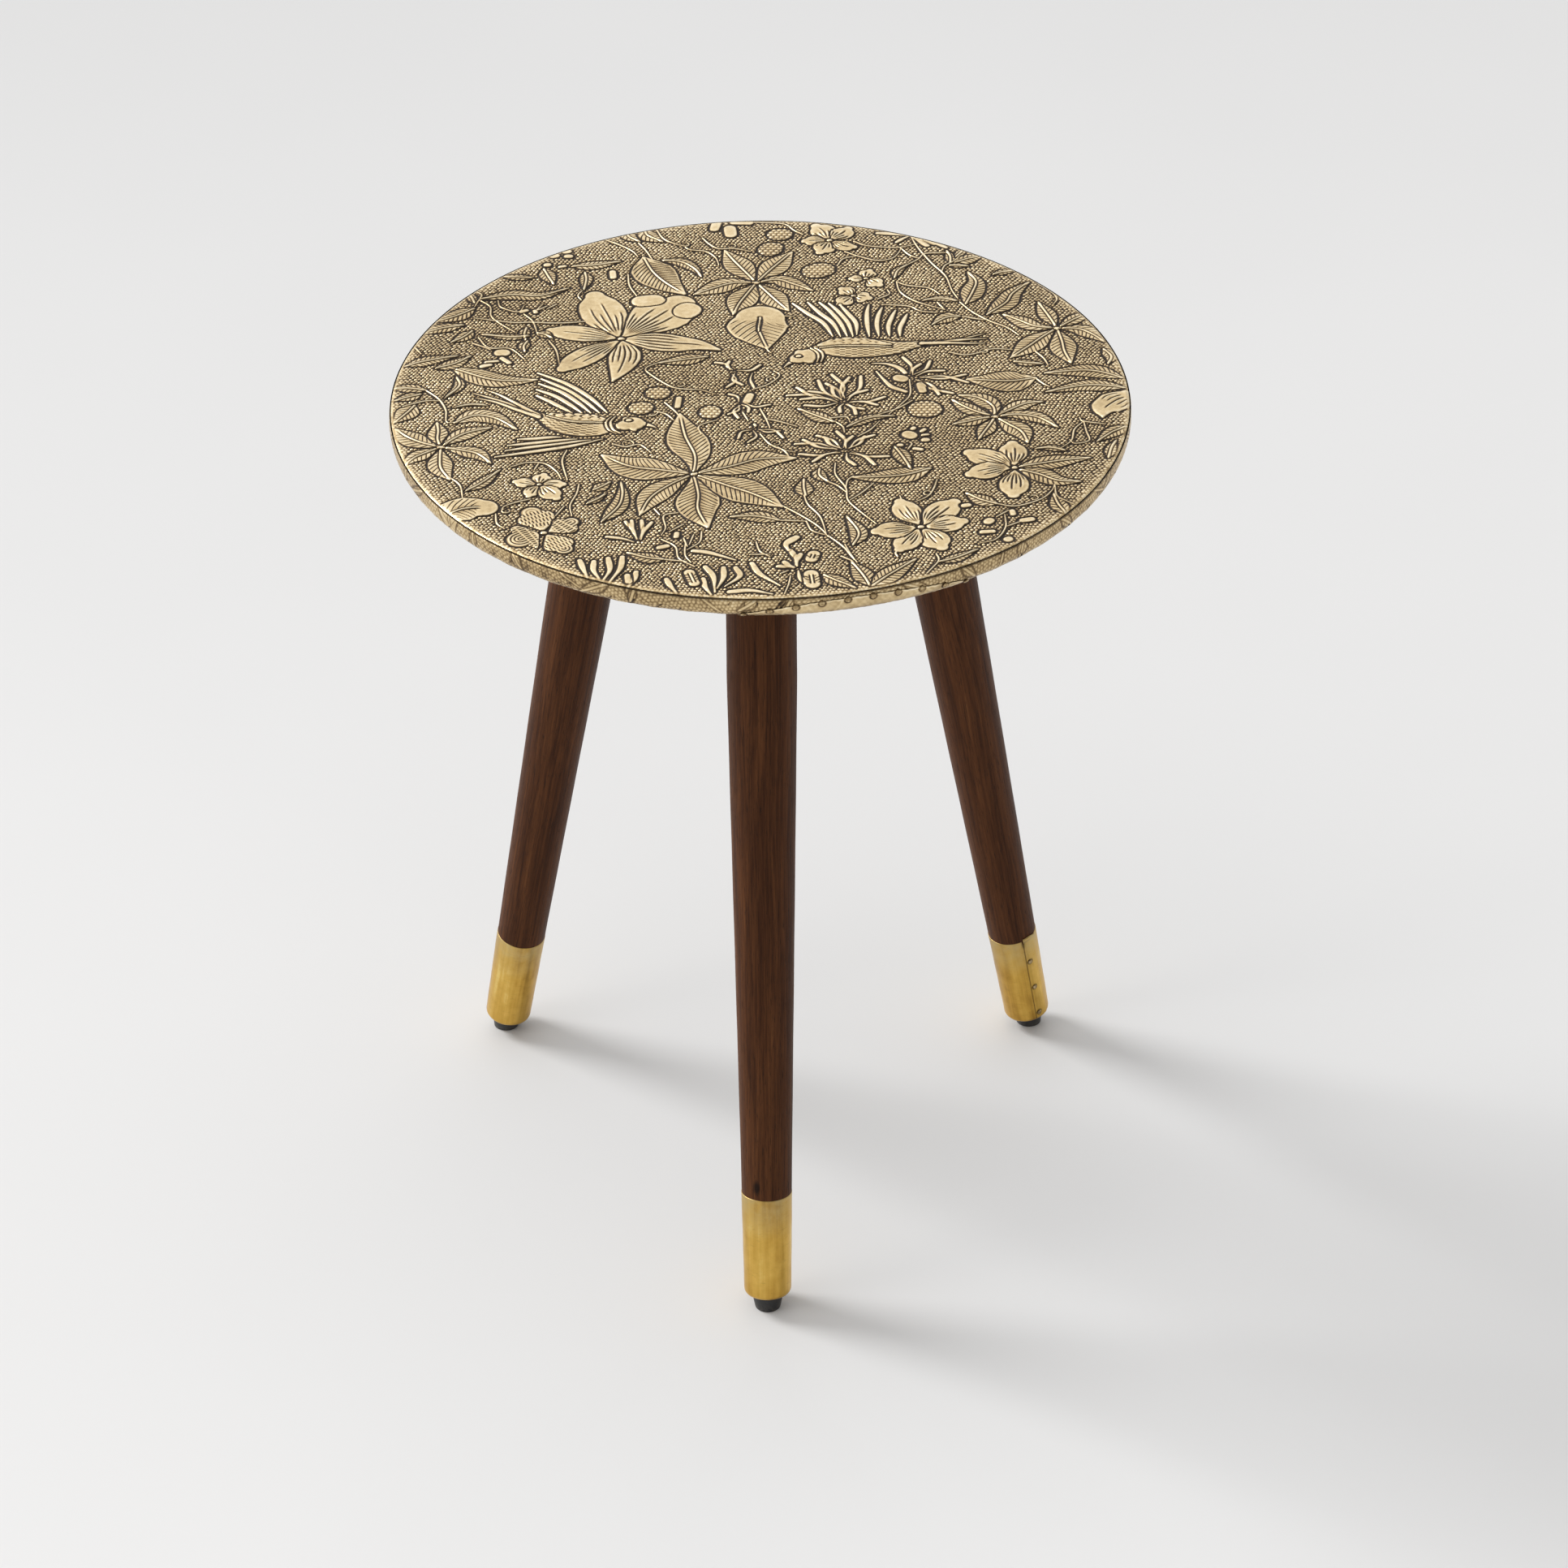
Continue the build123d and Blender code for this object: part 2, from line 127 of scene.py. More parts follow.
class Relief:
    """Heights on a square grid over the top: 0 is the ground and 1 the highest raised work."""

    def __init__(self, reach, cell):
        self.reach, self.cell = reach, cell
        self.count = int(2 * reach / cell) + 1
        shape = (self.count, self.count)
        self.height = np.zeros(shape, np.float32)
        self.near = np.full(shape, -9.0, np.float32)
        self.dark = np.zeros(shape, np.float32)

    def window(self, low, high):
        """The slices and coordinates of the cells between two corners."""
        i0, j0 = (max(int((v + self.reach) / self.cell), 0) for v in low)
        i1, j1 = (min(int((v + self.reach) / self.cell) + 2, self.count) for v in high)
        if i1 <= i0 or j1 <= j0:
            return None
        x = np.arange(i0, i1) * self.cell - self.reach
        y = np.arange(j0, j1) * self.cell - self.reach
        return (slice(j0, j1), slice(i0, i1)), *np.meshgrid(x, y)

    def stroke(self, points, widths, height=0.8, edge=1.0, crown=0.25, detail=None, halo=1.0, parting=0.55):
        """Raises a band along a path, with a rounded edge and engraved detail, parted from what it covers."""
        path, share, length = flowing(points)
        widths = np.atleast_1d(np.array(widths, float))
        margin = widths.max() + 3.2
        found = self.window(path.min(0) - margin, path.max(0) + margin)
        if found is None:
            return
        at, x, y = found
        a, d = path[:-1], np.diff(path, axis=0)
        squares = np.maximum((d**2).sum(1), 1e-9)
        px, py = x[..., None] - a[:, 0], y[..., None] - a[:, 1]
        t = np.clip((px * d[:, 0] + py * d[:, 1]) / squares, 0, 1)
        gap = (px - t * d[:, 0]) ** 2 + (py - t * d[:, 1]) ** 2
        pick = gap.argmin(-1)[..., None]

        def chosen(values):
            return np.take_along_axis(values, pick, -1)[..., 0]

        away = np.sqrt(chosen(gap))
        side = np.sign(chosen(d[:, 0] * py - d[:, 1] * px))
        part = share[:-1][pick[..., 0]] + chosen(t) * np.diff(share)[pick[..., 0]]
        knots = np.linspace(0, 1, len(widths))
        half = np.interp(part, knots, widths) if len(widths) > 1 else np.full_like(part, widths[0])
        inside = half - away
        across = np.clip(away / np.maximum(half, 0.05), 0, 1)
        soft = np.minimum(edge, 0.35 + 0.9 * half)
        rise = smooth(-0.35, 1, inside / soft)
        raised = rise * height * (1 - crown * across**2)
        engraved = np.zeros_like(raised)
        if detail is not None:
            change = detail(part, across * side, away * side, length, half, x, y)
            raised = raised + change * smooth(0.1, 0.8, inside / soft)
            engraved = np.clip(-(change + 0.08) * 3.6, 0, 1) * smooth(0.0, 0.5, inside / soft)
        beside = bump(np.minimum(inside, 0) + 0.3, 0.55) * (inside < 0.1) * (self.height[at] > 0.25)
        self.height[at] *= 1 - parting * beside
        self.dark[at] = np.maximum(self.dark[at], 1.5 * parting * beside)
        higher = raised > self.height[at]
        self.dark[at] = np.where(higher, engraved, self.dark[at])
        self.height[at] = np.where(higher, raised, self.height[at])
        self.near[at] = np.maximum(self.near[at], inside * halo + (1 - halo) * -2.5)

    def engrave(self, points, half=0.55, depth=0.4):
        """Cuts a groove along a path into whatever is raised there."""
        path = flowing(points, 0.4)[0]
        found = self.window(path.min(0) - 3, path.max(0) + 3)
        if found is None:
            return
        at, x, y = found
        away = np.sqrt(((x[..., None] - path[:, 0]) ** 2 + (y[..., None] - path[:, 1]) ** 2).min(-1))
        cut = bump(away, half) * smooth(0.2, 0.5, self.height[at])
        self.height[at] -= depth * cut
        self.dark[at] = np.maximum(self.dark[at], cut)


def widths_like(kind, half):
    """Half widths along a leaf, petal or finger."""
    shapes = {
        "leaf": (0.12, 0.62, 0.95, 1.0, 0.88, 0.66, 0.4, 0.12),
        "blade": (0.08, 0.26, 0.52, 0.78, 0.96, 1.0, 0.88, 0.66, 0.38, 0.1),
        "petal": (0.12, 0.45, 0.75, 0.95, 1.0, 0.97, 0.82, 0.45),
        "fan": (0.1, 0.35, 0.62, 0.84, 1.0, 1.05, 0.95, 0.6),
        "finger": (0.4, 0.55, 0.75, 0.95, 1.0, 0.85),
        "bud": (0.35, 0.85, 1.0, 0.95, 0.65, 0.2),
        "oval": (0.55, 0.9, 1.0, 0.9, 0.55),
        "feather": (0.35, 0.75, 0.95, 1.0, 1.0, 0.95, 0.8, 0.5),
    }
    return np.array(shapes[kind]) * half


def leaf_veins(spacing=2.6, slant=0.8, depth=0.48, rib=0.3):
    """A raised midrib with grooves beside it, and slanting side veins."""

    def detail(part, v, t, length, half, x, y):
        wide = smooth(1.2, 3.0, half)
        midrib = rib * bump(t, 0.45) - depth * 0.95 * bump(np.abs(t) - 0.95, 0.36)
        midrib = midrib - 0.14 * wide * bump(v, 0.3)
        midrib = midrib * smooth(0.0, 0.06, part) * (1 - smooth(0.86, 0.98, part))
        phase = (part * length - np.abs(t) * slant) / spacing + 0.5 * (v > 0)
        off = (phase - np.floor(phase) - 0.5) * spacing
        body = smooth(1.2, 1.9, np.abs(t)) * (1 - smooth(0.8, 0.95, np.abs(v)))
        body = body * smooth(0.08, 0.16, part) * (1 - smooth(0.8, 0.92, part))
        pillow = 0.1 * np.cos(2 * pi * (phase - np.floor(phase)))
        return midrib - (depth * bump(off, 0.46) + pillow) * body

    return detail


def petal_lines(count=5, reach=0.72, depth=0.42, start=0.08):
    """Grooves that fan out from a petal's foot, the middle ones longest, each beside a low ridge."""

    def detail(part, v, t, length, half, x, y):
        total = np.zeros_like(part)
        for k in range(count):
            place = (k + 0.5) / count * 2 - 1
            end = reach * (1 - 0.45 * place**2) * (0.86 + 0.14 * (-1) ** k)
            along = smooth(start, start + 0.08, part) * (1 - smooth(end - 0.14, end, part))
            off = t - place * 0.86 * half
            total += (-depth * bump(off, 0.42) + 0.6 * depth * bump(off - 0.95, 0.5)) * along
        return total - 0.16 * bump(v, 0.45) * (1 - part)

    return detail


def dashes(row=3.7, column=1.9, depth=0.4):
    """Short engraved dashes in rows across a petal."""

    def detail(part, v, t, length, half, x, y):
        level = part * length / row
        rank = np.floor(level)
        off_row = (level - rank - 0.5) * row
        place = t / column + 0.5 * (rank % 2)
        off = (place - np.floor(place) - 0.5) * column
        body = smooth(0.12, 0.25, part) * (1 - smooth(0.85, 0.93, np.abs(v)))
        return -depth * bump(off, 0.44) * (1 - smooth(1.2, 1.7, np.abs(off_row))) * body

    return detail


def seed_bumps(pitch=2.9, depth=0.6):
    """Round beads all over a berry or seed head, in rows."""

    def detail(part, v, t, length, half, x, y):
        rank = np.floor(y / (0.87 * pitch))
        off_row = y - (rank + 0.5) * 0.87 * pitch
        place = x / pitch + 0.5 * (rank % 2)
        off = (place - np.floor(place) - 0.5) * pitch
        return depth * (bump(np.hypot(off, off_row), pitch * 0.36) - 0.3)

    return detail


def scales(pitch=4.6, depth=0.42):
    """Overlapping round feather edges on a folded wing."""

    def detail(part, v, t, length, half, x, y):
        run = part * length / pitch
        rank = np.floor(run)
        place = t / pitch * 1.3 + 0.5 * (rank % 2)
        off = (place - np.floor(place) - 0.5) * 2
        arc = run - rank - 0.35 - 0.5 * (1 - off**2)
        return -depth * bump(arc, 0.16)

    return detail


# ---- The pattern: leaves, flowers, birds and vines, placed over the top in millimetres ----


def leaf(relief, points, half, height=0.86, spacing=2.6, kind="leaf", saw=0.0):
    widths = widths_like(kind, half)
    if saw:
        fine = np.interp(np.linspace(0, 1, 33), np.linspace(0, 1, len(widths)), widths)
        widths = fine * (1 - saw * (np.arange(33) % 2))
    relief.stroke(points, widths, height, edge=0.75, crown=0.42, detail=leaf_veins(spacing))


def petal(relief, points, half, lines=5, kind="petal", height=0.88, reach=0.86):
    relief.stroke(points, widths_like(kind, half), height, edge=0.9, crown=0.34,
                  detail=petal_lines(lines, reach))


def finger(relief, points, half=1.3, height=0.78):
    relief.stroke(points, widths_like("finger", half * 1.2), height, edge=0.9, crown=0.3, parting=0.2)


def stem(relief, points, half=0.75, height=0.84):
    relief.stroke(points, (half * 0.9, half * 1.1, half, half * 0.75), height, edge=0.6, crown=0.5, halo=0.75,
                  parting=0.0)


def oval(relief, x, y, long, short, turn=0.0, height=0.8, detail=None, crown=0.25):
    """A raised oval of two half sizes, its long one turned from +X."""
    reach = max(long - short, 0.4)
    dx, dy = reach * cos(radians(turn)), reach * sin(radians(turn))
    relief.stroke([(x - dx, y - dy), (x, y), (x + dx, y + dy)], (short * 0.96, short, short * 0.96), height,
                  1.2, crown, detail)


def curl(relief, x, y, radius, start, sweep, half=0.6):
    """A tendril's small loop about a point, from a starting angle through a sweep, in degrees."""
    turns = [radians(start + sweep * k / 9) for k in range(10)]
    stem(relief, [(x + radius * cos(t), y + radius * sin(t)) for t in turns], half)


def spray(relief, x, y, tips, half=1.3, bow=0.12):
    """Fingers from one point out to their tips, each bowed a little."""
    for k, (tx, ty) in enumerate(tips):
        dx, dy = tx - x, ty - y
        sway = bow * (1 if k % 2 else -1)
        middle = (x + 0.55 * dx - sway * dy, y + 0.55 * dy + sway * dx)
        foot = (x + 0.16 * dx, y + 0.16 * dy)
        finger(relief, [foot, middle, (tx, ty)], half)


def boss(relief, x, y, radius=1.5):
    oval(relief, x, y, radius, radius * 0.96, 0, 0.95, crown=0.6)


def bird(relief, places):
    """A bird seen from the side, with a folded wing, a collar, an eye and strips for its tail."""
    body, head, beak, eye, collar, wing, tail = places
    relief.stroke(body, (3.6, 8.6, 10.2, 9.6, 7.0, 3.8, 2.2), 0.92, 1.5, 0.2, dashes(3.0, 2.4, 0.3))
    for strip in tail:
        relief.stroke(strip, (1.5, 1.4, 1.1, 0.5), 0.8, 0.8, 0.3)
    relief.stroke(wing, (1.5, 4.4, 5.0, 4.4, 2.6, 0.8), 1.0, 1.0, 0.12, scales())
    relief.stroke(wing_edge(wing), (0.5, 0.75, 0.75, 0.5), 1.12, 0.5, 0.4)
    relief.stroke(beak, (2.6, 1.5, 0.5), 0.86, 1.0, 0.3)
    relief.stroke(head, (5.2, 7.6, 8.2, 6.8), 0.98, 1.6, 0.18)
    for offset in (0.0, 2.1):
        path = [(cx + offset, cy) for cx, cy in collar]
        relief.stroke(path, (0.5, 0.9, 0.9, 0.5), 1.12, 0.5, 0.5)
    ring = [(eye[0] + 2.3 * cos(radians(a)), eye[1] + 1.9 * sin(radians(a))) for a in range(0, 361, 45)]
    relief.engrave(ring, 0.5, 0.4)
    oval(relief, *eye, 1.3, 1.25, 0, 1.08, crown=0.5)


def wing_edge(wing):
    """The raised line along the lower edge of a folded wing."""
    return [(x, y - 4.6 + 3.4 * abs(k / (len(wing) - 1) - 0.45)) for k, (x, y) in enumerate(wing)]


def draw_big_flower(relief):
    """The six-petalled flower at the upper left, with the leaf-like petals below and beside it."""
    petal(relief, [(-74, 66), (-79, 80), (-84, 96), (-87, 108)], 12.5, 6)
    petal(relief, [(-71, 66), (-62, 76), (-51, 89), (-43, 99)], 16.0, 9, "fan")
    oval(relief, -38, 92, 8.5, 7.5, 60, 0.84, crown=0.1)
    oval(relief, -59, 103, 9.5, 6.0, 10, 0.84, crown=0.1)
    petal(relief, [(-71, 63), (-58, 61), (-44, 58), (-32, 56), (-21, 51)], 9.2, 5, "leaf")
    petal(relief, [(-72, 61), (-70, 48), (-72, 34), (-76, 20)], 8.8, 5, "leaf")
    petal(relief, [(-74, 61), (-84, 52), (-94, 42), (-102, 33)], 8.2, 6, "petal")
    petal(relief, [(-75, 64), (-86, 67), (-98, 70), (-109, 72)], 8.0, 5, "petal")
    boss(relief, -72.5, 63.5, 2.0)


def draw_leaf_flowers(relief):
    """The flowers and rosettes whose petals are leaves, each spread about its boss."""
    rosettes = (
        (-2, 121, (((-8, 133), (-14, 145), (-19, 156), 7.6), ((5, 134), (11, 144), (17, 154), 7.4),
                   ((9, 124), (18, 119), (28, 112), 5.6), ((4, 110), (9, 101), (15, 91), 7.2),
                   ((-7, 109), (-11, 99), (-14, 88), 8.0), ((-14, 121), (-24, 116), (-35, 109), 6.6))),
        (-33.5, -73, (((-33, -55), (-38, -36), (-41, -14), 10.5), ((-50, -69), (-66, -65), (-80, -54), 10.5),
                      ((-46, -84), (-55, -96), (-60, -112), 7.6),
                      ((-31, -92), (-31, -107), (-26, -124), 11.0),
                      ((-17, -84), (-3, -93), (11, -105), 10.8), ((-15, -66), (0, -59), (18, -58), 9.6))),
        (155, 71, (((152, 81), (149, 90), (146, 99), 4.8), ((144, 73), (136, 79), (127, 86), 5.2),
                   ((162, 78), (168, 84), (173, 89), 4.2), ((166, 70), (173, 65), (179, 57), 5.4),
                   ((147, 62), (140, 53), (130, 41), 7.0), ((157, 58), (158, 47), (161, 35), 7.0))),
        (120, -19, (((119, -8), (112, 0), (102, 3), 5.6), ((111, -14), (104, -8), (98, -1), 4.6),
                    ((128, -12), (136, -6), (145, -4), 4.8), ((131, -17), (142, -20), (152, -30), 5.0),
                    ((127, -27), (133, -34), (136, -45), 6.2), ((117, -27), (114, -34), (111, -41), 4.6),
                    ((112, -21), (105, -24), (98, -26), 4.6))),
        (-162, -45, (((-164, -37), (-164, -29), (-165, -20), 5.2),
                     ((-156, -37), (-149, -31), (-137, -26), 5.2),
                     ((-152, -48), (-143, -52), (-136, -61), 5.2),
                     ((-162, -56), (-161, -66), (-156, -77), 6.4),
                     ((-171, -41), (-179, -35), (-186, -26), 6.6),
                     ((-170, -51), (-176, -56), (-180, -62), 4.8))),
    )
    for x, y, leaves in rosettes:
        for *path, half in leaves:
            leaf(relief, [(x, y), *path], half * 1.04, 0.9, 2.9, "blade")
        boss(relief, x, y, 1.9)


def draw_open_flowers(relief):
    """The flowers with broad petals: groups of petals about a boss, each a path and a half width."""
    flowers = (
        (37, 166.5, ((34, 176, 30, 182, 7.5), (44, 174, 47, 179, 6.5), (28, 166, 24, 166, 5.6),
                     (34, 158, 32, 154, 6.6), (45, 160, 50, 159, 5.2)), 1.8, 5),
        (56, 125, ((57, 130, 58, 133, 5.2), (51, 125, 48, 125, 4.0), (60, 121, 63, 118, 5.6)), 1.3, 4),
        (49, 106.5, ((46, 111, 43, 114, 5.2), (54, 105, 57, 104, 6.0), (45, 102, 42, 98, 5.4)), 1.3, 4),
        (-111, -82, ((-110, -77, -109, -73, 5.4), (-116, -81, -123, -79, 4.8), (-105, -82, -99, -82, 5.0),
                     (-114, -87, -116, -93, 4.6), (-107, -88, -102, -95, 6.0)), 1.4, 4),
        (128.5, -69, ((128, -60, 128, -46, 7.8), (121, -63, 106, -54, 8.2), (120, -70, 106, -75, 7.6),
                      (128, -78, 127, -95, 8.0)), 1.9, 6),
        (80, -125, ((75, -114, 70, -101, 7.6), (87, -115, 97, -102, 8.6), (88, -124, 101, -120, 7.4),
                    (84, -132, 90, -144, 8.2), (76, -133, 69, -146, 7.0), (70, -127, 58, -129, 7.8)), 2.0, 6),
    )
    for x, y, petals, heart, lines in flowers:
        for mx, my, tx, ty, half in petals:
            foot = (x + 0.12 * (tx - x), y + 0.12 * (ty - y))
            petal(relief, [foot, (mx, my), (tx, ty)], half, lines)
        boss(relief, x, y, heart)
    oval(relief, 103, -105, 3.4, 2.4, 15, 0.8)
    stem(relief, [(70, -146), (67, -149), (68, -153)], 0.9)
    stem(relief, [(73, -108), (71, -100), (70, -95)], 0.8)
    for path, half in ((((131, -68), (143, -65), (155, -62), (167, -60)), 6.4),
                       (((131, -71), (141, -76), (150, -82), (161, -83)), 6.4)):
        leaf(relief, path, half, 0.84, 2.8)


def draw_dashed_flower(relief):
    """The flower at the lower left whose petals are filled with rows of dashes."""
    for path, half in ((((-108, -126), (-110, -118), (-114, -109)), 9.6),
                       (((-105, -127), (-99, -123), (-94, -118)), 7.6),
                       (((-110, -129), (-116, -132), (-119, -134)), 12.0),
                       (((-106, -130), (-101, -137), (-97, -143)), 8.0)):
        relief.stroke(path, widths_like("fan", half), 0.86, 1.3, 0.12, dashes())
    boss(relief, -107.5, -128, 2.0)


def draw_berries(relief):
    for x, y, long, short, turn in ((-52.5, 7.5, 7.2, 6.6, 0), (-61, -7.5, 7.2, 6.6, 20),
                                    (-25.5, -12, 7.0, 6.2, 80),
                                    (84.5, -10.5, 9.6, 8.6, 0), (10.5, 173.5, 7.6, 6.6, 10),
                                    (5.5, 157.5, 8.2, 6.8, 60),
                                    (31, 134, 9.8, 7.8, 30)):
        oval(relief, x, y, long, short, turn, 0.66, seed_bumps(), 0.25)


def draw_birds(relief):
    """The two birds and the strips of their spread wings."""
    bird(relief, (
        [(27, 49), (36, 52), (48, 52), (60, 52), (70, 52), (80, 55), (90, 57)],
        [(20, 41.5), (25, 44.5)], [(18, 40), (14.5, 36), (12.5, 33)], (20, 43.5),
        [(26, 52), (29.5, 48), (30.5, 43), (29.5, 38)],
        [(31, 55), (40, 57.5), (50, 58), (60, 57), (68, 55)],
        ([(84, 56), (96, 58), (106, 61), (117, 66)], [(84, 56), (98, 58), (108, 60), (118, 61)],
         [(84, 56), (98, 56.5), (110, 56), (117, 56)]),
    ))
    bird(relief, (
        [(-73, -26), (-82, -26), (-92, -25), (-101, -23), (-107, -19), (-113, -14), (-117, -11)],
        [(-68.5, -24.5), (-65, -23)], [(-60, -23), (-56, -25), (-53, -27)], (-67, -20),
        [(-76, -16), (-78.5, -22), (-77, -29), (-73, -33)],
        [(-79, -19), (-86, -18), (-94, -17), (-102, -15), (-109, -12)],
        ([(-113, -15), (-124, -6), (-134, 1), (-148, 9)], [(-113, -14), (-124, -3), (-133, 6), (-141, 12)],
         [(-113, -16), (-125, -8), (-135, -1), (-146, 4)]),
    ))
    wings = (
        (((38, 64), (33, 78), (25, 88), (17, 99)), ((42, 64), (38, 78), (31, 89), (25, 100)),
         ((45.5, 64), (42, 78), (37, 90), (31, 100)), ((48.5, 64), (46, 78), (41, 90), (36, 99)),
         ((50.5, 66), (50, 78), (46, 88), (42, 97))),
        (((57, 64), (56, 76), (56, 88), (57, 97)), ((62, 64), (61, 76), (62, 86), (64, 94)),
         ((67.5, 64), (67, 74), (69, 84), (71, 91)), ((73, 64), (73, 72), (75, 80), (77, 87))),
        (((-78, -12), (-87, 3), (-99, 17), (-115, 29)), ((-82, -12), (-90, 0), (-100, 12), (-113, 23)),
         ((-86.5, -12), (-93, -2), (-102, 9), (-114, 18)), ((-91, -12), (-97, -4), (-105, 5), (-115, 12)),
         ((-96, -12), (-102, -6), (-108, 0), (-115, 6))),
        (((-80, -38), (-96, -45), (-114, -50), (-134, -55)),
         ((-86, -39), (-100, -42), (-113, -45), (-129, -49)),
         ((-93, -38), (-105, -40), (-116, -42), (-128, -44)),
         ((-101, -36), (-108, -36.5), (-115, -37.5), (-123, -38))),
    )
    for wing in wings:
        for path in wing:
            relief.stroke(path, widths_like("feather", 1.75), 0.86, 1.0, 0.3)


def draw_finger_flowers(relief):
    """The flowers made of many thin curved petals."""
    spray(relief, 43, -3, ((14, 4), (19, 12), (25, 8), (30, 19), (34, 16), (37, 12), (37, 25), (46, 22),
                           (52, 23), (55, 9),
                           (64, 2), (60, -6), (53, -10), (49, -15), (41, -13), (23, -6), (21, 0)))
    spray(relief, 43, -51, ((18, -44), (22, -40), (29, -36), (33, -38), (39, -32), (47, -37), (53, -37),
                            (58, -36), (65, -57),
                            (58, -65), (48, -65), (20, -54), (27, -61)))
    spray(relief, 78, 22, ((74, 42), (83, 35), (88, 38), (95, 28), (106, 24), (107, 16), (99, 5), (92, 4)),
          1.25)
    oval(relief, 72.5, 20.5, 5.0, 3.8, -25)
    oval(relief, 83, 11, 6.0, 2.8, 100)
    finger(relief, [(58, 36), (66, 35), (72, 31), (75, 26)], 1.5)
    finger(relief, [(60, 28), (64, 19), (68, 12), (75, 7)], 1.5)
    spray(relief, -14, 29, ((-23, 38), (-16, 39), (0, 35), (-17, 13), (-9, 15)), 1.2, 0.2)
    finger(relief, [(-4, 27), (-5, 20), (-3, 12)], 1.0)
    oval(relief, -6, 1.5, 6.0, 2.8, 75)
    spray(relief, -10, -3, ((-16, 6), (-16, -14), (-11, -18), (-6, -12), (5, -5)), 1.1, 0.2)
    spray(relief, -3, -28, ((-11, -38), (-6, -42), (10, -31), (12, -38), (-3, -24)), 1.0, 0.2)
    spray(relief, -60, -138, ((-67, -118), (-64, -117), (-59, -117), (-54, -119), (-76, -132)), 1.35, 0.05)
    spray(relief, 18, -163, ((15, -146), (20, -150), (9, -161), (12, -157), (23, -177)), 1.7, 0.08)
    finger(relief, [(14, -146), (13, -140), (18, -134)], 2.2)
    oval(relief, 26, -152, 6.0, 3.8, 75, detail=leaf_veins(2.4))
    oval(relief, 25.5, -173, 9.0, 4.4, 95, detail=leaf_veins(2.4))
    for path in (((-89, -154), (-87, -162), (-85, -169)), ((-82, -155), (-82, -163), (-79, -171)),
                 ((-75, -152), (-74, -163), (-77, -172)), ((-68, -151), (-69, -162), (-74, -174)),
                 ((-46, -172), (-44, -178), (-41, -184)), ((-28, -172), (-27, -179), (-24, -186)),
                 ((-27, -161), (-23, -170), (-22, -184)), ((-18, -162), (-18, -171), (-21, -181)),
                 ((-12, -162), (-10, -170), (-17, -179)), ((-4, -158), (0, -168), (10, -179)),
                 ((-15, -184), (-5, -183), (6, -186)), ((-33, -146), (-25, -148), (-12, -155)),
                 ((-61, -165), (-62, -172), (-66, -180))):
        finger(relief, path[::-1], 1.7)
    oval(relief, -33.5, -171, 8.5, 3.4, 105, detail=leaf_veins(2.2))
    oval(relief, -65, -171, 5.0, 2.2, 95)


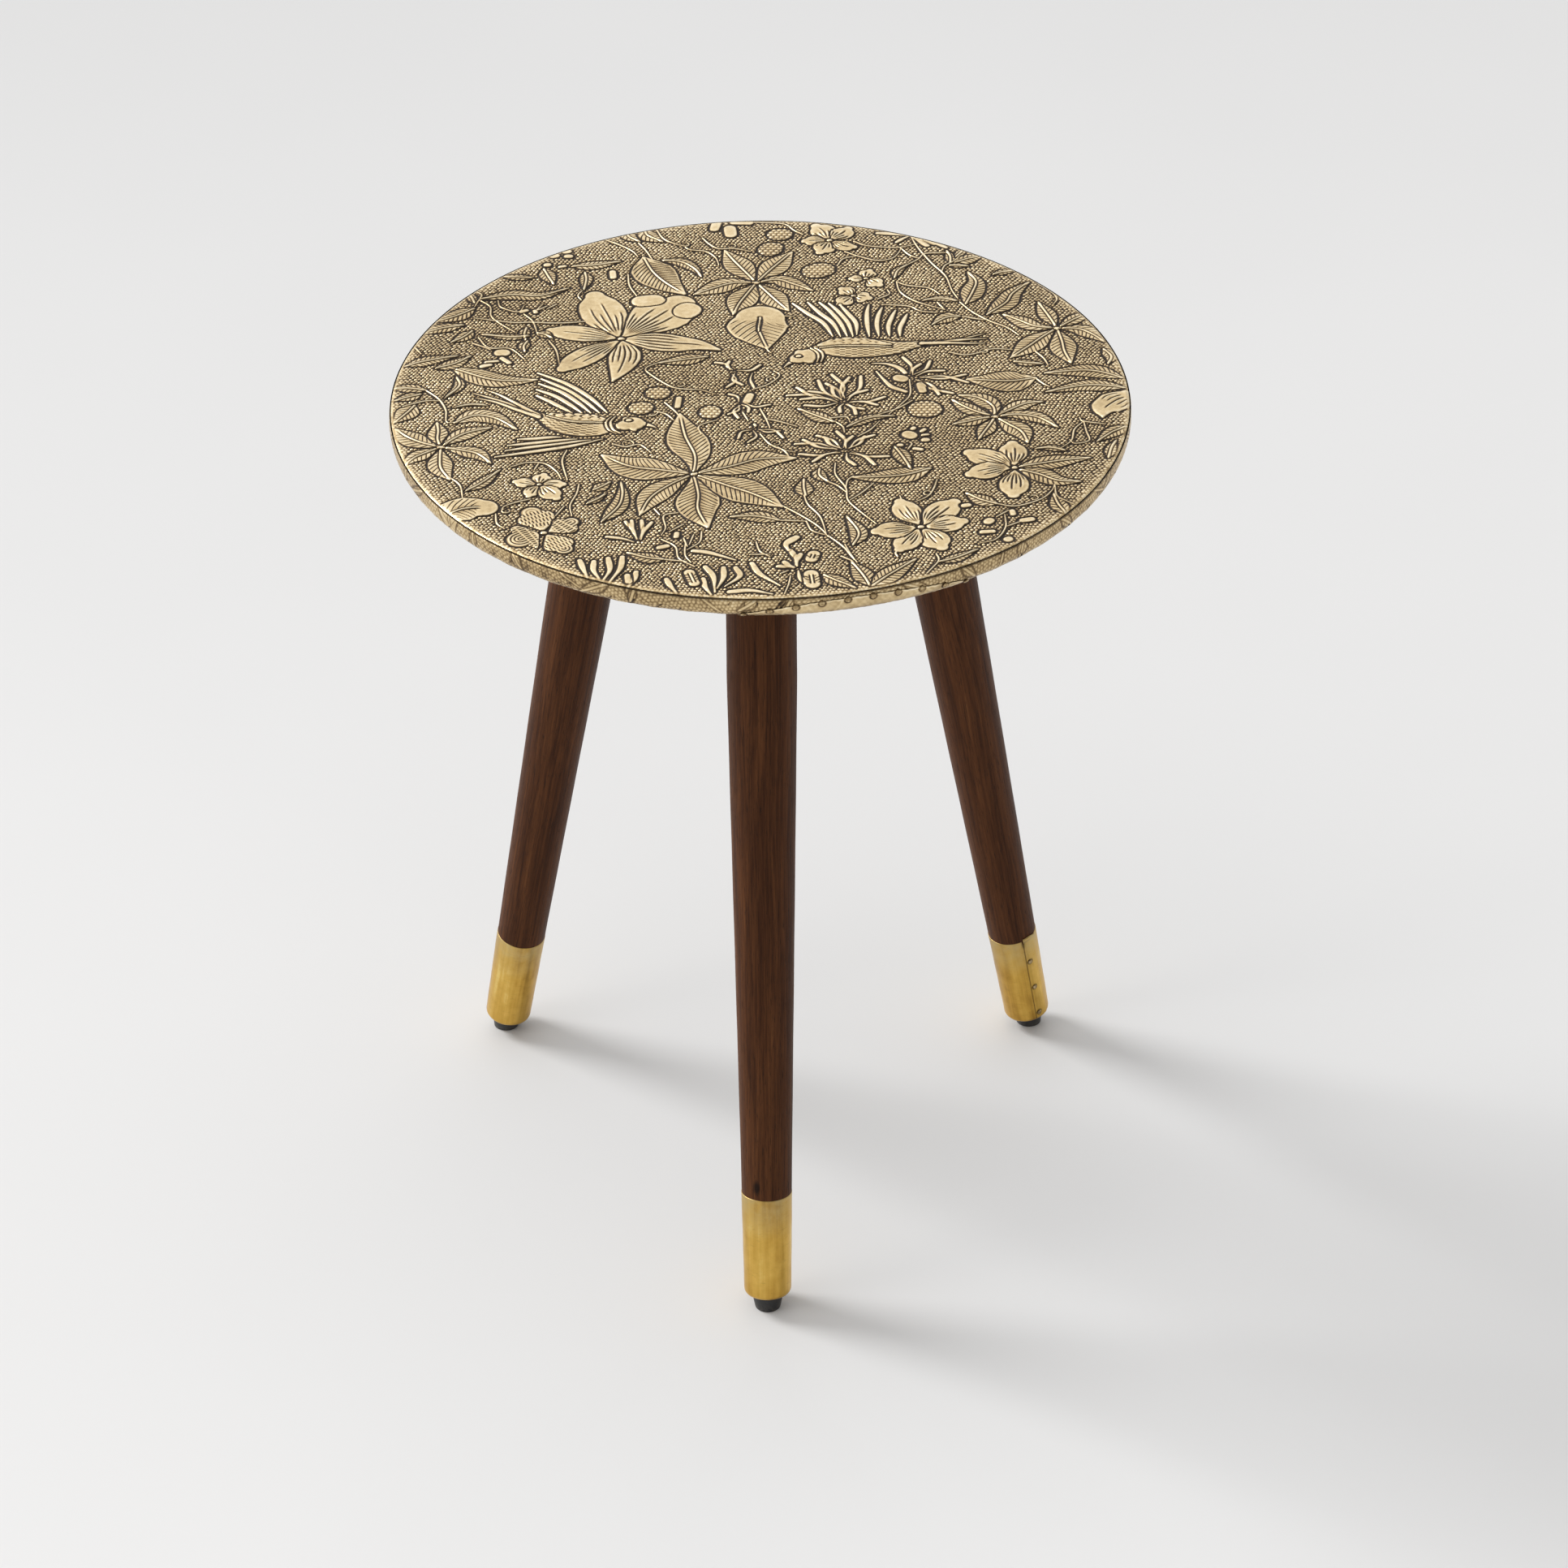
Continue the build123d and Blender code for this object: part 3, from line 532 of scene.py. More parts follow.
def draw_leaves(relief):
    """Single leaves: a path from foot to tip and a half width, with the toothed ones listed apart."""
    plain = (
        ((-62, 149), (-57, 134), (-50, 122), (-40, 110), 12.0),
        ((-52, 146), (-42, 144), (-35, 137), (-31, 128), 4.2),
        ((-100, 140), (-88, 141), (-74, 145), 4.4), ((-27, 44), (-40, 41), (-53, 38), 5.2),
        ((-159, 34), (-140, 23), (-128, 21), (-115, 22), 7.6), ((-157, 26), (-155, 16), (-162, 4), 3.0),
        ((-156, -21), (-146, -14), (-135, -17), (-124, -28), 6.4),
        ((-177, -3), (-181, -11), (-187, -20), 6.2),
        ((-148, -88), (-140, -80), (-131, -67), 3.8), ((-79, -118), (-71, -104), (-69, -92), (-70, -80), 4.8),
        ((-84, -88), (-80, -85), (-75, -80), 4.0), ((-87, -101), (-81, -96), (-77, -91), 2.6),
        ((142, 20), (128, 17), (107, 19), 10.4), ((187, 20), (170, 27), (147, 25), 6.4),
        ((188, 10), (168, 12), (147, 6), 5.6),
        ((131, 37), (138, 35.5), (147, 34), 3.2), ((38, -23), (28, -16), (19, -9), 4.6),
        ((44, -28), (56, -19), (69, -17), 3.8),
        ((86, -69), (74, -75), (60, -77), (46, -77), 7.2), ((46, -142), (49, -130), (43, -114), 4.8),
        ((23, -95), (22, -87), (22, -78), 4.8), ((10, -118), (-2, -114), (-15, -114), 5.2),
        ((-47, -154), (-56, -152), (-66, -147), 4.6), ((54, -179), (50, -168), (45, -157), 5.6),
        ((55, -179), (65, -168), (77, -155), 6.0), ((31, -169), (38, -175), (47, -181), 4.8),
        ((119, -104), (111, -100), (103, -93), 5.0), ((153, -113), (149, -104), (147, -94), 4.8),
        ((88, -158), (97, -154), (108, -146), 3.6), ((155, -53), (147, -50), (139, -51), 3.0),
        ((108, 97), (112, 110), (114, 121), (110, 131), 6.4),
        ((119, 86), (129, 98), (133, 108), (142, 120), 6.2),
        ((105, 84), (98, 83), (90, 76), 5.0), ((104, 100), (95, 103), (85, 101), 3.2),
        ((71, 125), (73, 133), (79, 140), 3.0),
        ((103, 141), (110, 145), (119, 150), 5.0), ((101, 141), (101, 148), (99, 155), 3.0),
        ((100, 138), (105, 138), (111, 137), 2.6),
        ((104, 147), (107, 153), (110, 159), 2.8), ((-115, 138), (-112, 129), (-109, 121), 4.6),
        ((-150, 96), (-160, 88), (-171, 83), 5.6), ((-155, 79), (-168, 75), (-180, 70), 4.6),
        ((-150, 73), (-155, 66), (-161, 61), 4.2),
        ((-122, 76), (-123, 69), (-122, 62), 3.2), ((-117, 70), (-112, 68), (-108, 64), 3.4),
        ((-121, 62), (-123, 56), (-122, 50), 3.2),
        ((-139, -4), (-148, -3), (-158, -6), 1.4), ((30, -68), (30, -75), (35, -82), 3.8),
        ((-62, 180), (-60, 173), (-52, 166), 5.6), ((-72, 179), (-70, 172), (-64, 166), 4.2),
        ((187, -28), (179, -35), (171, -44), 4.6),
        ((-172, 12), (-181, 14), (-190, 15), 4.6), ((-174, 8), (-181, 5), (-188, 2), 4.0),
        ((176, -60), (178, -50), (181, -42), 3.2),
        ((178, 50), (182, 42), (180, 34), 4.0), ((123, 128), (129, 131), (137, 134), 3.0),
        ((-150, 101), (-152, 108), (-155, 116), 2.8),
    )
    toothed = (
        ((-147, 106), (-131, 110), (-116, 109), (-101, 117), 5.4), ((-184, 37), (-172, 42), (-157, 47), 5.0),
        ((-93, 134), (-92, 126), (-93, 115), 4.0), ((68, -47), (72, -57), (76, -69), 5.0),
        ((-120, 128), (-129, 129), (-139, 131), 3.6),
        ((-168, 34), (-158, 39), (-150, 47), 5.0), ((-120, 67), (-130, 66), (-146, 69), 3.4),
    )
    for *path, half in plain:
        leaf(relief, path, half)
    for *path, half in toothed:
        leaf(relief, path, half, saw=0.16)


def draw_heart_leaf(relief):
    """The broad heart-shaped leaf, the broad bud at the right-hand rim and the broad leaf at the left."""
    relief.stroke([(0, 83), (-1, 74), (1, 63), (4, 51)], (13.5, 17.0, 13.8, 7.6, 0.5), 0.88, 1.0, 0.2,
                  leaf_veins(4.2, 0.9))
    relief.stroke([(0, 84), (0, 79), (-1, 70)], (0.7, 0.7, 0.6), 0.6, 0.6, 0.4)
    stem(relief, [(3, 54), (4, 50), (6, 47)], 0.7)
    relief.stroke([(189, 2), (182, -4), (176, -12), (175, -20)], (6.0, 9.6, 8.2, 1.0), 0.84, 1.4, 0.12,
                  petal_lines(5))
    relief.stroke([(-161, -115), (-153, -107), (-144, -104), (-138, -104)], (4.0, 9.5, 11.0, 7.5), 0.86, 1.0,
                  0.2, leaf_veins(3.2, 0.9))


def draw_buds(relief):
    for x, y, long, short, turn in (
        (76, -36, 5.0, 4.2, -40), (78, -29.5, 2.4, 2.0, 60), (83, -31.5, 2.8, 1.8, 50),
        (84, -36, 2.8, 1.5, 10), (84, -41, 3.0, 2.4, 0),
        (71, -46, 2.2, 2.0, 0), (80, -50, 3.6, 1.9, -15), (126, -112, 3.6, 2.2, 100),
        (114, -120, 3.8, 3.2, 50), (133, -119, 4.8, 2.5, 15),
        (113, -130, 4.8, 2.2, 5), (-103, 156.5, 3.2, 2.5, 10), (-102, 151, 3.2, 2.5, -10),
        (-109.5, 152, 3.4, 2.8, 20),
        (-113, 142, 2.6, 2.4, 0), (-105, 140, 3.0, 1.8, 15), (-78, 131, 5.2, 2.4, 95),
        (-16, 177, 7.2, 4.0, 95), (-24, 183, 6.4, 3.2, 80),
        (-10, 187, 7.0, 3.0, -5), (-41.5, -131, 3.6, 2.0, 85), (-48, -142, 4.2, 2.3, 20),
        (-134, 50, 5.0, 4.0, 0), (-142, 37, 4.2, 2.2, 25),
        (-139, 41, 4.6, 1.6, 10), (-132, 42, 5.0, 2.0, -50), (-42, -2, 6.4, 2.2, 85),
        (123, -137, 3.2, 2.8, 30), (-124, 93, 3.4, 2.0, 30),
        (-118, 92.5, 2.6, 1.8, -70), (46, 18, 1.2, 1.0, 0), (0, 150, 1.0, 0.9, 0),
    ):
        oval(relief, x, y, long, short, turn)


def draw_vines(relief):
    """Stems, vines and tendrils as paths, then the tendrils' loops."""
    paths = (
        ((-88, 82), (-105, 80), (-120, 81), (-130, 81), (-150, 86)),
        ((-148, 105), (-142, 98), (-141, 88), (-136, 80), (-128, 71)),
        ((-148, 104), (-147, 111), (-152, 116)), ((-148, 105), (-150, 98)),
        ((-124, 90), (-119, 82), (-116, 68)),
        ((-138, 104), (-136, 97), (-127, 92), (-124, 99)), ((-112, 98), (-117, 94), (-114, 101)),
        ((-107, 100), (-112, 95)),
        ((-94, 114), (-96, 109), (-94, 104)), ((-70, 131), (-69, 119), (-65, 108)),
        ((-85, 171), (-74, 162), (-68, 156), (-65, 150)),
        ((-65, 165), (-61, 157), (-57, 146)), ((-56, 181), (-52, 170), (-46, 164), (-40, 161)),
        ((-40, 160), (-37, 157), (-29, 155), (-24, 149), (-22, 141)),
        ((-31, 170), (-27, 163), (-22, 158), (-14, 158), (-5, 155)),
        ((-4, 187), (8, 186), (14, 184), (18, 178), (23, 173)),
        ((50, 165), (57, 160), (68, 158), (75, 158), (84, 162)),
        ((45, 154), (52, 149), (62, 144), (70, 146), (74, 153), (75, 158)), ((41, 139), (44, 146), (51, 149)),
        ((75, 157), (80, 149), (85, 146)), ((78, 139), (84, 145), (88, 151), (100, 152)),
        ((80, 173), (84, 158), (91, 141), (98, 127), (101, 112), (104, 103)),
        ((105, 99), (111, 89), (120, 79), (129, 72), (135, 64)),
        ((96, 131), (98, 138), (103, 143), (107, 150)), ((106, 84), (114, 81), (119, 80)),
        ((72, 121), (78, 117), (89, 114), (95, 107)), ((72, 121), (74, 110), (82, 100), (97, 91)),
        ((64, 97), (78, 95), (84, 90), (93, 88)), ((93, 99), (97, 91)), ((3, 89), (9, 86), (18, 85)),
        ((62, 103), (68, 108), (67, 113)),
        ((146, 122), (148, 117), (154, 109), (156, 102), (154, 96)),
        ((98, 47), (106, 44), (113, 46), (121, 50), (131, 49)),
        ((142, 20), (146, 14), (149, 11)), ((143, 47), (147, 40), (149, 33)),
        ((77, 19), (77, 4), (72, -6), (66, -15)),
        ((78, -2), (70, -10), (60, -16)), ((43, -33), (42, -27), (38, -22)),
        ((36, -19), (44, -18), (46, -23)),
        ((50, -37), (56, -31), (61, -22)), ((165, -24), (160, -32), (158, -43), (152, -51)),
        ((163, -20), (165, -24), (176, -27)),
        ((165, -24), (166, -34), (167, -43), (160, -46), (157, -42)), ((75, -50), (77, -45), (76, -43)),
        ((38, -63), (38, -74), (43, -87), (44, -99), (50, -110), (58, -122)),
        ((34, -81), (39, -85), (43, -91)),
        ((57, -83), (51, -92), (45, -99)), ((47, -76), (44, -80), (43, -88)),
        ((10, -103), (20, -113), (29, -124), (34, -134)),
        ((34, -133), (41, -143), (45, -152), (48, -158)), ((22, -94), (24, -103), (30, -115), (33, -132)),
        ((10, -118), (23, -119)),
        ((23, -119), (26, -128), (34, -133)), ((42, -141), (44, -148), (47, -156)), ((40, -152), (46, -157)),
        ((-49, -135), (-42, -142), (-40, -153), (-32, -161)), ((-37, -139), (-37, -150), (-34, -157)),
        ((-29, -128), (-30, -138), (-36, -145)), ((-33, -131), (-35, -140)), ((-38, -134), (-36, -142)),
        ((-47, -154), (-36, -156)),
        ((-53, -106), (-50, -112)), ((-41, -110), (-48, -113), (-47, -124), (-49, -131)),
        ((-38, -121), (-45, -128)),
        ((-2, -138), (0, -147), (5, -152)), ((-5, -150), (5, -150)), ((15, -170), (14, -178), (12, -186)),
        ((10, -168), (14, -165)),
        ((119, -104), (128, -106), (140, -100), (146, -92), (148, -85)),
        ((148, -86), (149, -97), (157, -104)),
        ((118, -116), (124, -110)), ((123, -125), (131, -120)),
        ((122, -114), (122, -126), (117, -137), (108, -141)),
        ((87, -150), (88, -157), (82, -168)), ((89, -80), (87, -89), (84, -96), (78, -101)),
        ((-91, -82), (-92, -91), (-95, -102), (-94, -112)),
        ((-98, -103), (-102, -112)), ((-115, -96), (-122, -99), (-128, -103), (-129, -107)),
        ((-132, -110), (-131, -119), (-127, -124)),
        ((-126, -65), (-118, -61), (-109, -62), (-103, -69), (-100, -77)),
        ((-98, -49), (-100, -60), (-97, -78)), ((-112, -62), (-114, -68)),
        ((-157, -74), (-151, -82), (-149, -95)), ((-172, 12), (-165, 3), (-161, -8), (-160, -20),
                                                  (-154, -20)),
        ((-183, -4), (-172, 1), (-164, 1)), ((-147, 66), (-141, 55), (-130, 54), (-122, 43)),
        ((-110, 62), (-106, 52), (-104, 38)),
        ((-53, 38), (-59, 33), (-57, 27), (-46, 14), (-38, 11), (-30, 10), (-23, 6)),
        ((-4, 10), (4, 15), (10, 24), (7, 29)),
        ((-30, -34), (-31, -26), (-22, -20)), ((-49, -2), (-43, -12), (-41, -18)),
        ((-54, -11), (-48, -14), (-44, -20)),
        ((0, -9), (3, -19), (5, -28)), ((3, -19), (10, -22), (19, -27)), ((-9, -12), (-6, -21)),
        ((0, -34), (5, -44), (12, -50), (18, -52)),
        ((9, -47), (13, -52), (15, -58)), ((-75, -43), (-68, -46), (-61, -44), (-55, -52)),
        ((-58, -16), (-54, -15), (-52, -12)),
        ((-180, 57), (-176, 49)), ((-150, 60), (-144, 56), (-140, 53)), ((8, 143), (14, 152)),
    )
    for path in paths:
        stem(relief, path)
    for loop in ((-40, 163, 2.0, 200, 300), (-15, 161, 1.9, 220, 280), (-41, 16, 2.2, 230, 300),
                 (5.5, 20.5, 2.2, 0, 300),
                 (116, 48, 2.0, 250, 320), (-67, -42.5, 2.8, 260, 320), (8, -43, 2.2, 250, 300),
                 (-127, -107, 2.0, 120, 300),
                 (137, -98, 2.2, 250, 250), (84, -93, 2.0, 30, 300)):
        curl(relief, *loop)
    fans = (((80, 171), (63, 174), 1.7), ((80, 171), (70, 177), 1.7), ((80, 171), (73, 164), 1.4),
            ((81, 170), (89, 160), 1.9),
            ((84, 168), (93, 162), 1.7), ((88, 166), (99, 158), 1.4), ((-60, 200), (-56, 184), 1.4))
    for foot, tip, half in fans:
        finger(relief, [foot, ((foot[0] + tip[0]) / 2, (foot[1] + tip[1]) / 2 + 0.6), tip], half)


def stipple(relief, pitch=2.1, height=0.6):
    """Small domes in uneven rows all over the ground, fading out beside the raised work."""
    axis = (np.arange(relief.count) * relief.cell - relief.reach).astype(np.float32)
    x, y = np.meshgrid(axis, axis)
    sway_x = x + 1.6 * np.sin(y / 23 + 0.7) + 0.9 * np.sin((x + y) / 11) + 0.25 * np.sin(x / 3.1 + y / 5.3)
    sway_y = y + 1.6 * np.sin(x / 27 + 2.1) + 0.8 * np.sin((x - y) / 13) + 0.25 * np.sin(y / 2.9 - x / 4.7)
    rank = np.floor(sway_y / (pitch * 0.87))
    nearest = np.full_like(x, 9.0)
    size = np.zeros_like(x)
    for dr in (-1, 0, 1):
        row = rank + dr
        shift = 0.5 * (row % 2)
        column = np.round(sway_x / pitch - shift)
        for dc in (-1, 0, 1):
            spot = column + dc
            seed = np.sin(spot * 12.9898 + row * 78.233) * 43758.5453
            jitter = seed - np.floor(seed)
            seed = np.sin(spot * 39.346 + row * 11.135) * 24634.6345
            jitter_y = seed - np.floor(seed)
            gap_x = sway_x - (spot + shift + 0.34 * (jitter - 0.5)) * pitch
            gap_y = sway_y - (row + 0.5 + 0.34 * (jitter_y - 0.5)) * pitch * 0.87
            gap = np.hypot(gap_x, gap_y)
            size = np.where(gap < nearest, 0.72 + 0.5 * jitter, size)
            nearest = np.minimum(nearest, gap)
    domes = height * size * (1 - smooth(0.1, 0.62, nearest / pitch))
    clear = 1 - smooth(-1.0, -0.3, relief.near)
    return domes * clear


def draw_pattern(cell):
    """All the raised work, as one relief."""
    relief = Relief(205.0, cell)
    for draw in (draw_big_flower, draw_leaf_flowers, draw_open_flowers, draw_dashed_flower, draw_heart_leaf,
                 draw_leaves,
                 draw_berries, draw_buds, draw_finger_flowers, draw_vines, draw_birds, draw_edge_sprigs):
        draw(relief)
    return relief


def draw_edge_sprigs(relief, count=46):
    """Small leaves and stems that carry the pattern over the crease and down the side."""
    rng = np.random.default_rng(7)
    for k in range(count):
        turn = radians(360 * (k + 0.6 * rng.random()) / count)
        lean, far_out = rng.uniform(-0.09, 0.09), rng.uniform(196, 200)
        path = [(r * cos(turn + lean * share), r * sin(turn + lean * share)) for r, share in
                ((189.5, 0.0), (192.5, 0.35), (far_out, 1.0))]
        if k % 3:
            leaf(relief, path, rng.uniform(2.2, 3.6), 0.8, 2.4)
        else:
            stem(relief, path, 0.8)


def sampled(grid, relief, x, y):
    """Values of a relief's grid at points in millimetres, blended between its cells."""
    u, v = (x + relief.reach) / relief.cell, (y + relief.reach) / relief.cell
    i = np.clip(u.astype(int), 0, relief.count - 2)
    j = np.clip(v.astype(int), 0, relief.count - 2)
    fu, fv = u - i, v - j
    low = grid[j, i] * (1 - fu) + grid[j, i + 1] * fu
    high = grid[j + 1, i] * (1 - fu) + grid[j + 1, i + 1] * fu
    return low * (1 - fv) + high * fv


def blurred(grid, width):
    """A grid averaged twice over squares that many cells wide."""
    half = max(width // 2, 1)
    for axis in (0, 1, 0, 1):
        room = [(0, 0), (0, 0)]
        room[axis] = (half + 1, half)
        total = np.cumsum(np.pad(grid.astype(float), room, mode="edge"), axis)
        span = 2 * half + 1
        ahead = np.take(total, range(span, total.shape[axis]), axis)
        behind = np.take(total, range(0, total.shape[axis] - span), axis)
        grid = (ahead - behind) / span
    return grid


# ---- The brass sheet: one closed skin over the top, round the rim and in under the board ----


top_ground = table_height - relief_height - 0.15
highest = table_height - 0.01
crease_start = 187.9
crease_radius = 2.3
side_radius = top_radius - 0.24
underside = table_height - board_thickness
hem_inner_radius = top_radius - low_edge_radius - hem_width


def rim_profile(step=0.42):
    """Radii, heights and outward directions down the rim's outer face, from the flat top to the hem's end."""
    low_centre = top_radius - low_edge_radius
    curve = low_edge_radius - 0.2
    side_low, side_high = underside + low_edge_radius, top_ground + 0.1 - crease_radius
    rows = []
    for angle in np.linspace(90, 0, max(3, int(crease_radius * pi / 2 / step)) + 1)[1:]:
        c, s = cos(radians(angle)), sin(radians(angle))
        rows.append((side_radius - crease_radius * (1 - c), side_high + crease_radius * s, c, s))
    for z in np.linspace(side_high, side_low, int((side_high - side_low) / step) + 1)[1:]:
        rows.append((side_radius, z, 1.0, 0.0))
    for angle in np.linspace(0, -90, int(curve * pi / 2 / step) + 1)[1:]:
        c, s = cos(radians(angle)), sin(radians(angle))
        rows.append((low_centre + (curve + 0.04) * c - 0.08, side_low + curve * s, c, s))
    for r in np.linspace(low_centre, hem_inner_radius, 16)[1:]:
        rows.append((r, underside + 0.2, 0.0, -1.0))
    return np.array(rows)


def groove(run, level, at, low, high, lean, width=0.4):
    """A leaning cut in the rim, as depth from 0 to 1, given places along the rim and heights in millimetres."""
    middle = (low + high) / 2
    off = (run - at - (level - middle) * tan(radians(lean))) * cos(radians(lean))
    reach = (high - low) / 2
    return bump(off, width) * (1 - smooth(reach - 0.8, reach + 0.3, np.abs(level - middle)))


def rim_work(turn, level):
    """The rim's pleats, slits and crinkles: how far out and how dark, at turns in degrees and heights in mm."""
    run = turn * pi / 180 * top_radius
    out, dark = np.zeros_like(run), np.zeros_like(run)

    def place(azimuth):
        return azimuth * pi / 180 * top_radius

    rng = np.random.default_rng(23)
    slits = [(-113, 445.5, 449.5, 40), (-109.4, 445.6, 450.2, 34), (-105.2, 445.8, 449.6, 42),
             (-102, 445.6, 448.8, 30),
             (-47, 446.4, 450.2, -30), (-35.5, 446.0, 449.4, -34), (-140, 446, 450, 36),
             (-121.5, 445.8, 449.0, -28)]
    azimuth = -30.0
    while azimuth < 215:
        slits.append((azimuth, rng.uniform(445.2, 446.5), rng.uniform(448.6, 450.6),
                      rng.uniform(25, 45) * rng.choice([-1, 1])))
        azimuth += rng.uniform(6, 14)
    for azimuth, low, high, lean in slits:
        for wrap in (-360, 0, 360):
            cut = groove(run, level, place(azimuth + wrap), low, high, lean)
            fold = groove(run, level, place(azimuth + wrap) + 0.9, low - 0.3, high - 0.3, lean, 0.6)
            out += 0.14 * fold - 0.3 * cut
            dark += cut
    for offset in (0.0, 2.4):
        fold = groove(run, level, place(-87.4) + offset, 448.4, 454.2, 32, 0.5)
        out += 0.16 * groove(run, level, place(-87.4) + offset + 1.1, 448.6, 454.0, 32, 0.5) - 0.28 * fold
        dark += 1.1 * fold
    for azimuth, lean in ((-92.3, 10), (-90.4, -8), (-94.6, 24)):
        tick = groove(run, level, place(azimuth), 451.6, 454.2, lean, 0.35)
        out -= 0.2 * tick
        dark += 0.8 * tick
    for azimuth in (-134, -130.5, -127.6, -124, -119.5):
        dent = bump(run - place(azimuth) - 0.3 * (level - 450), 1.9) * bump(level - 449.8, 2.6)
        out -= 0.3 * dent
        dark += 0.42 * dent
    crinkled = smooth(-165, -140, turn) * (1 - smooth(-104, -96, turn)) + 0.3
    crossed = np.sin(run * 0.31 + level * 0.8)
    ripple = np.sin((run * 0.62 + level * 1.05) * 1.9 + 1.7 * np.sin(run * 0.19)) * crossed
    out += 0.055 * ripple * crinkled
    dark += 0.2 * np.clip(-ripple - 0.35, 0, 1) * crinkled
    gathers = np.sin(turn * pi / 180 * 60 + 1.4 * np.sin(turn * pi / 180 * 7))
    low_part = 1 - smooth(444.6, 448.5, level)
    out += 0.12 * gathers * low_part
    dark += 0.35 * np.clip(-gathers - 0.2, 0, 1) * low_part
    return out, np.clip(dark, 0, 1.2)


def disc_grid(count, radius):
    """A square grid pulled out into a disc, so that its cells stay nearly square."""
    line = np.linspace(-1, 1, count)
    a, b = np.meshgrid(line, line)
    wide = np.abs(a) >= np.abs(b)
    reach = np.where(wide, a, b)
    share = np.where(wide, b, a) / np.where(reach == 0, 1, reach) * pi / 4
    turn = np.where(wide, share, pi / 2 - share)
    return reach * radius * np.cos(turn), reach * radius * np.sin(turn)


def new_mesh(name, verts, faces_by_size):
    """A mesh object from vertex places in millimetres and arrays of triangles, quads and single large faces."""
    mesh = bpy.data.meshes.new(name)
    loops = np.concatenate([f.ravel() for f in faces_by_size]).astype(np.int32)
    sizes = np.concatenate([np.full(len(f), f.shape[1]) for f in faces_by_size]).astype(np.int32)
    mesh.vertices.add(len(verts))
    mesh.vertices.foreach_set("co", (np.asarray(verts) * MM).astype(np.float32).ravel())
    mesh.loops.add(len(loops))
    mesh.loops.foreach_set("vertex_index", loops)
    mesh.polygons.add(len(sizes))
    mesh.polygons.foreach_set("loop_start", (np.cumsum(sizes) - sizes).astype(np.int32))
    mesh.update(calc_edges=True)
    mesh.validate()
    mesh.shade_smooth()
    piece = bpy.data.objects.new(name, mesh)
    bpy.context.scene.collection.objects.link(piece)
    return piece


def add_value(piece, name, values):
    layer = piece.data.attributes.new(name, "FLOAT", "POINT")
    layer.data.foreach_set("value", np.asarray(values, np.float32))


def add_bake_map(piece, places):
    """A flat map for baking, from a place for each vertex."""
    layer = piece.data.uv_layers.new(name="OFBake")
    index = np.empty(len(piece.data.loops), np.int32)
    piece.data.loops.foreach_get("vertex_index", index)
    uv = np.asarray(places, np.float32)[index]
    first, size = np.empty(len(piece.data.polygons), np.int32), np.empty(len(piece.data.polygons), np.int32)
    piece.data.polygons.foreach_get("loop_start", first)
    piece.data.polygons.foreach_get("loop_total", size)
    corners = first[size == 4][:, None] + np.arange(4)
    u = uv[corners, 0]
    crossing = (u.max(1) - u.min(1) > 0.5)[:, None] & (u < 0.5)
    uv[corners[crossing], 0] = 0.99
    layer.data.foreach_set("uv", uv.ravel())


def rings_between(first, second):
    """Quads that join two closed loops of vertex numbers."""
    return np.stack([first, np.roll(first, -1), np.roll(second, -1), second], 1)


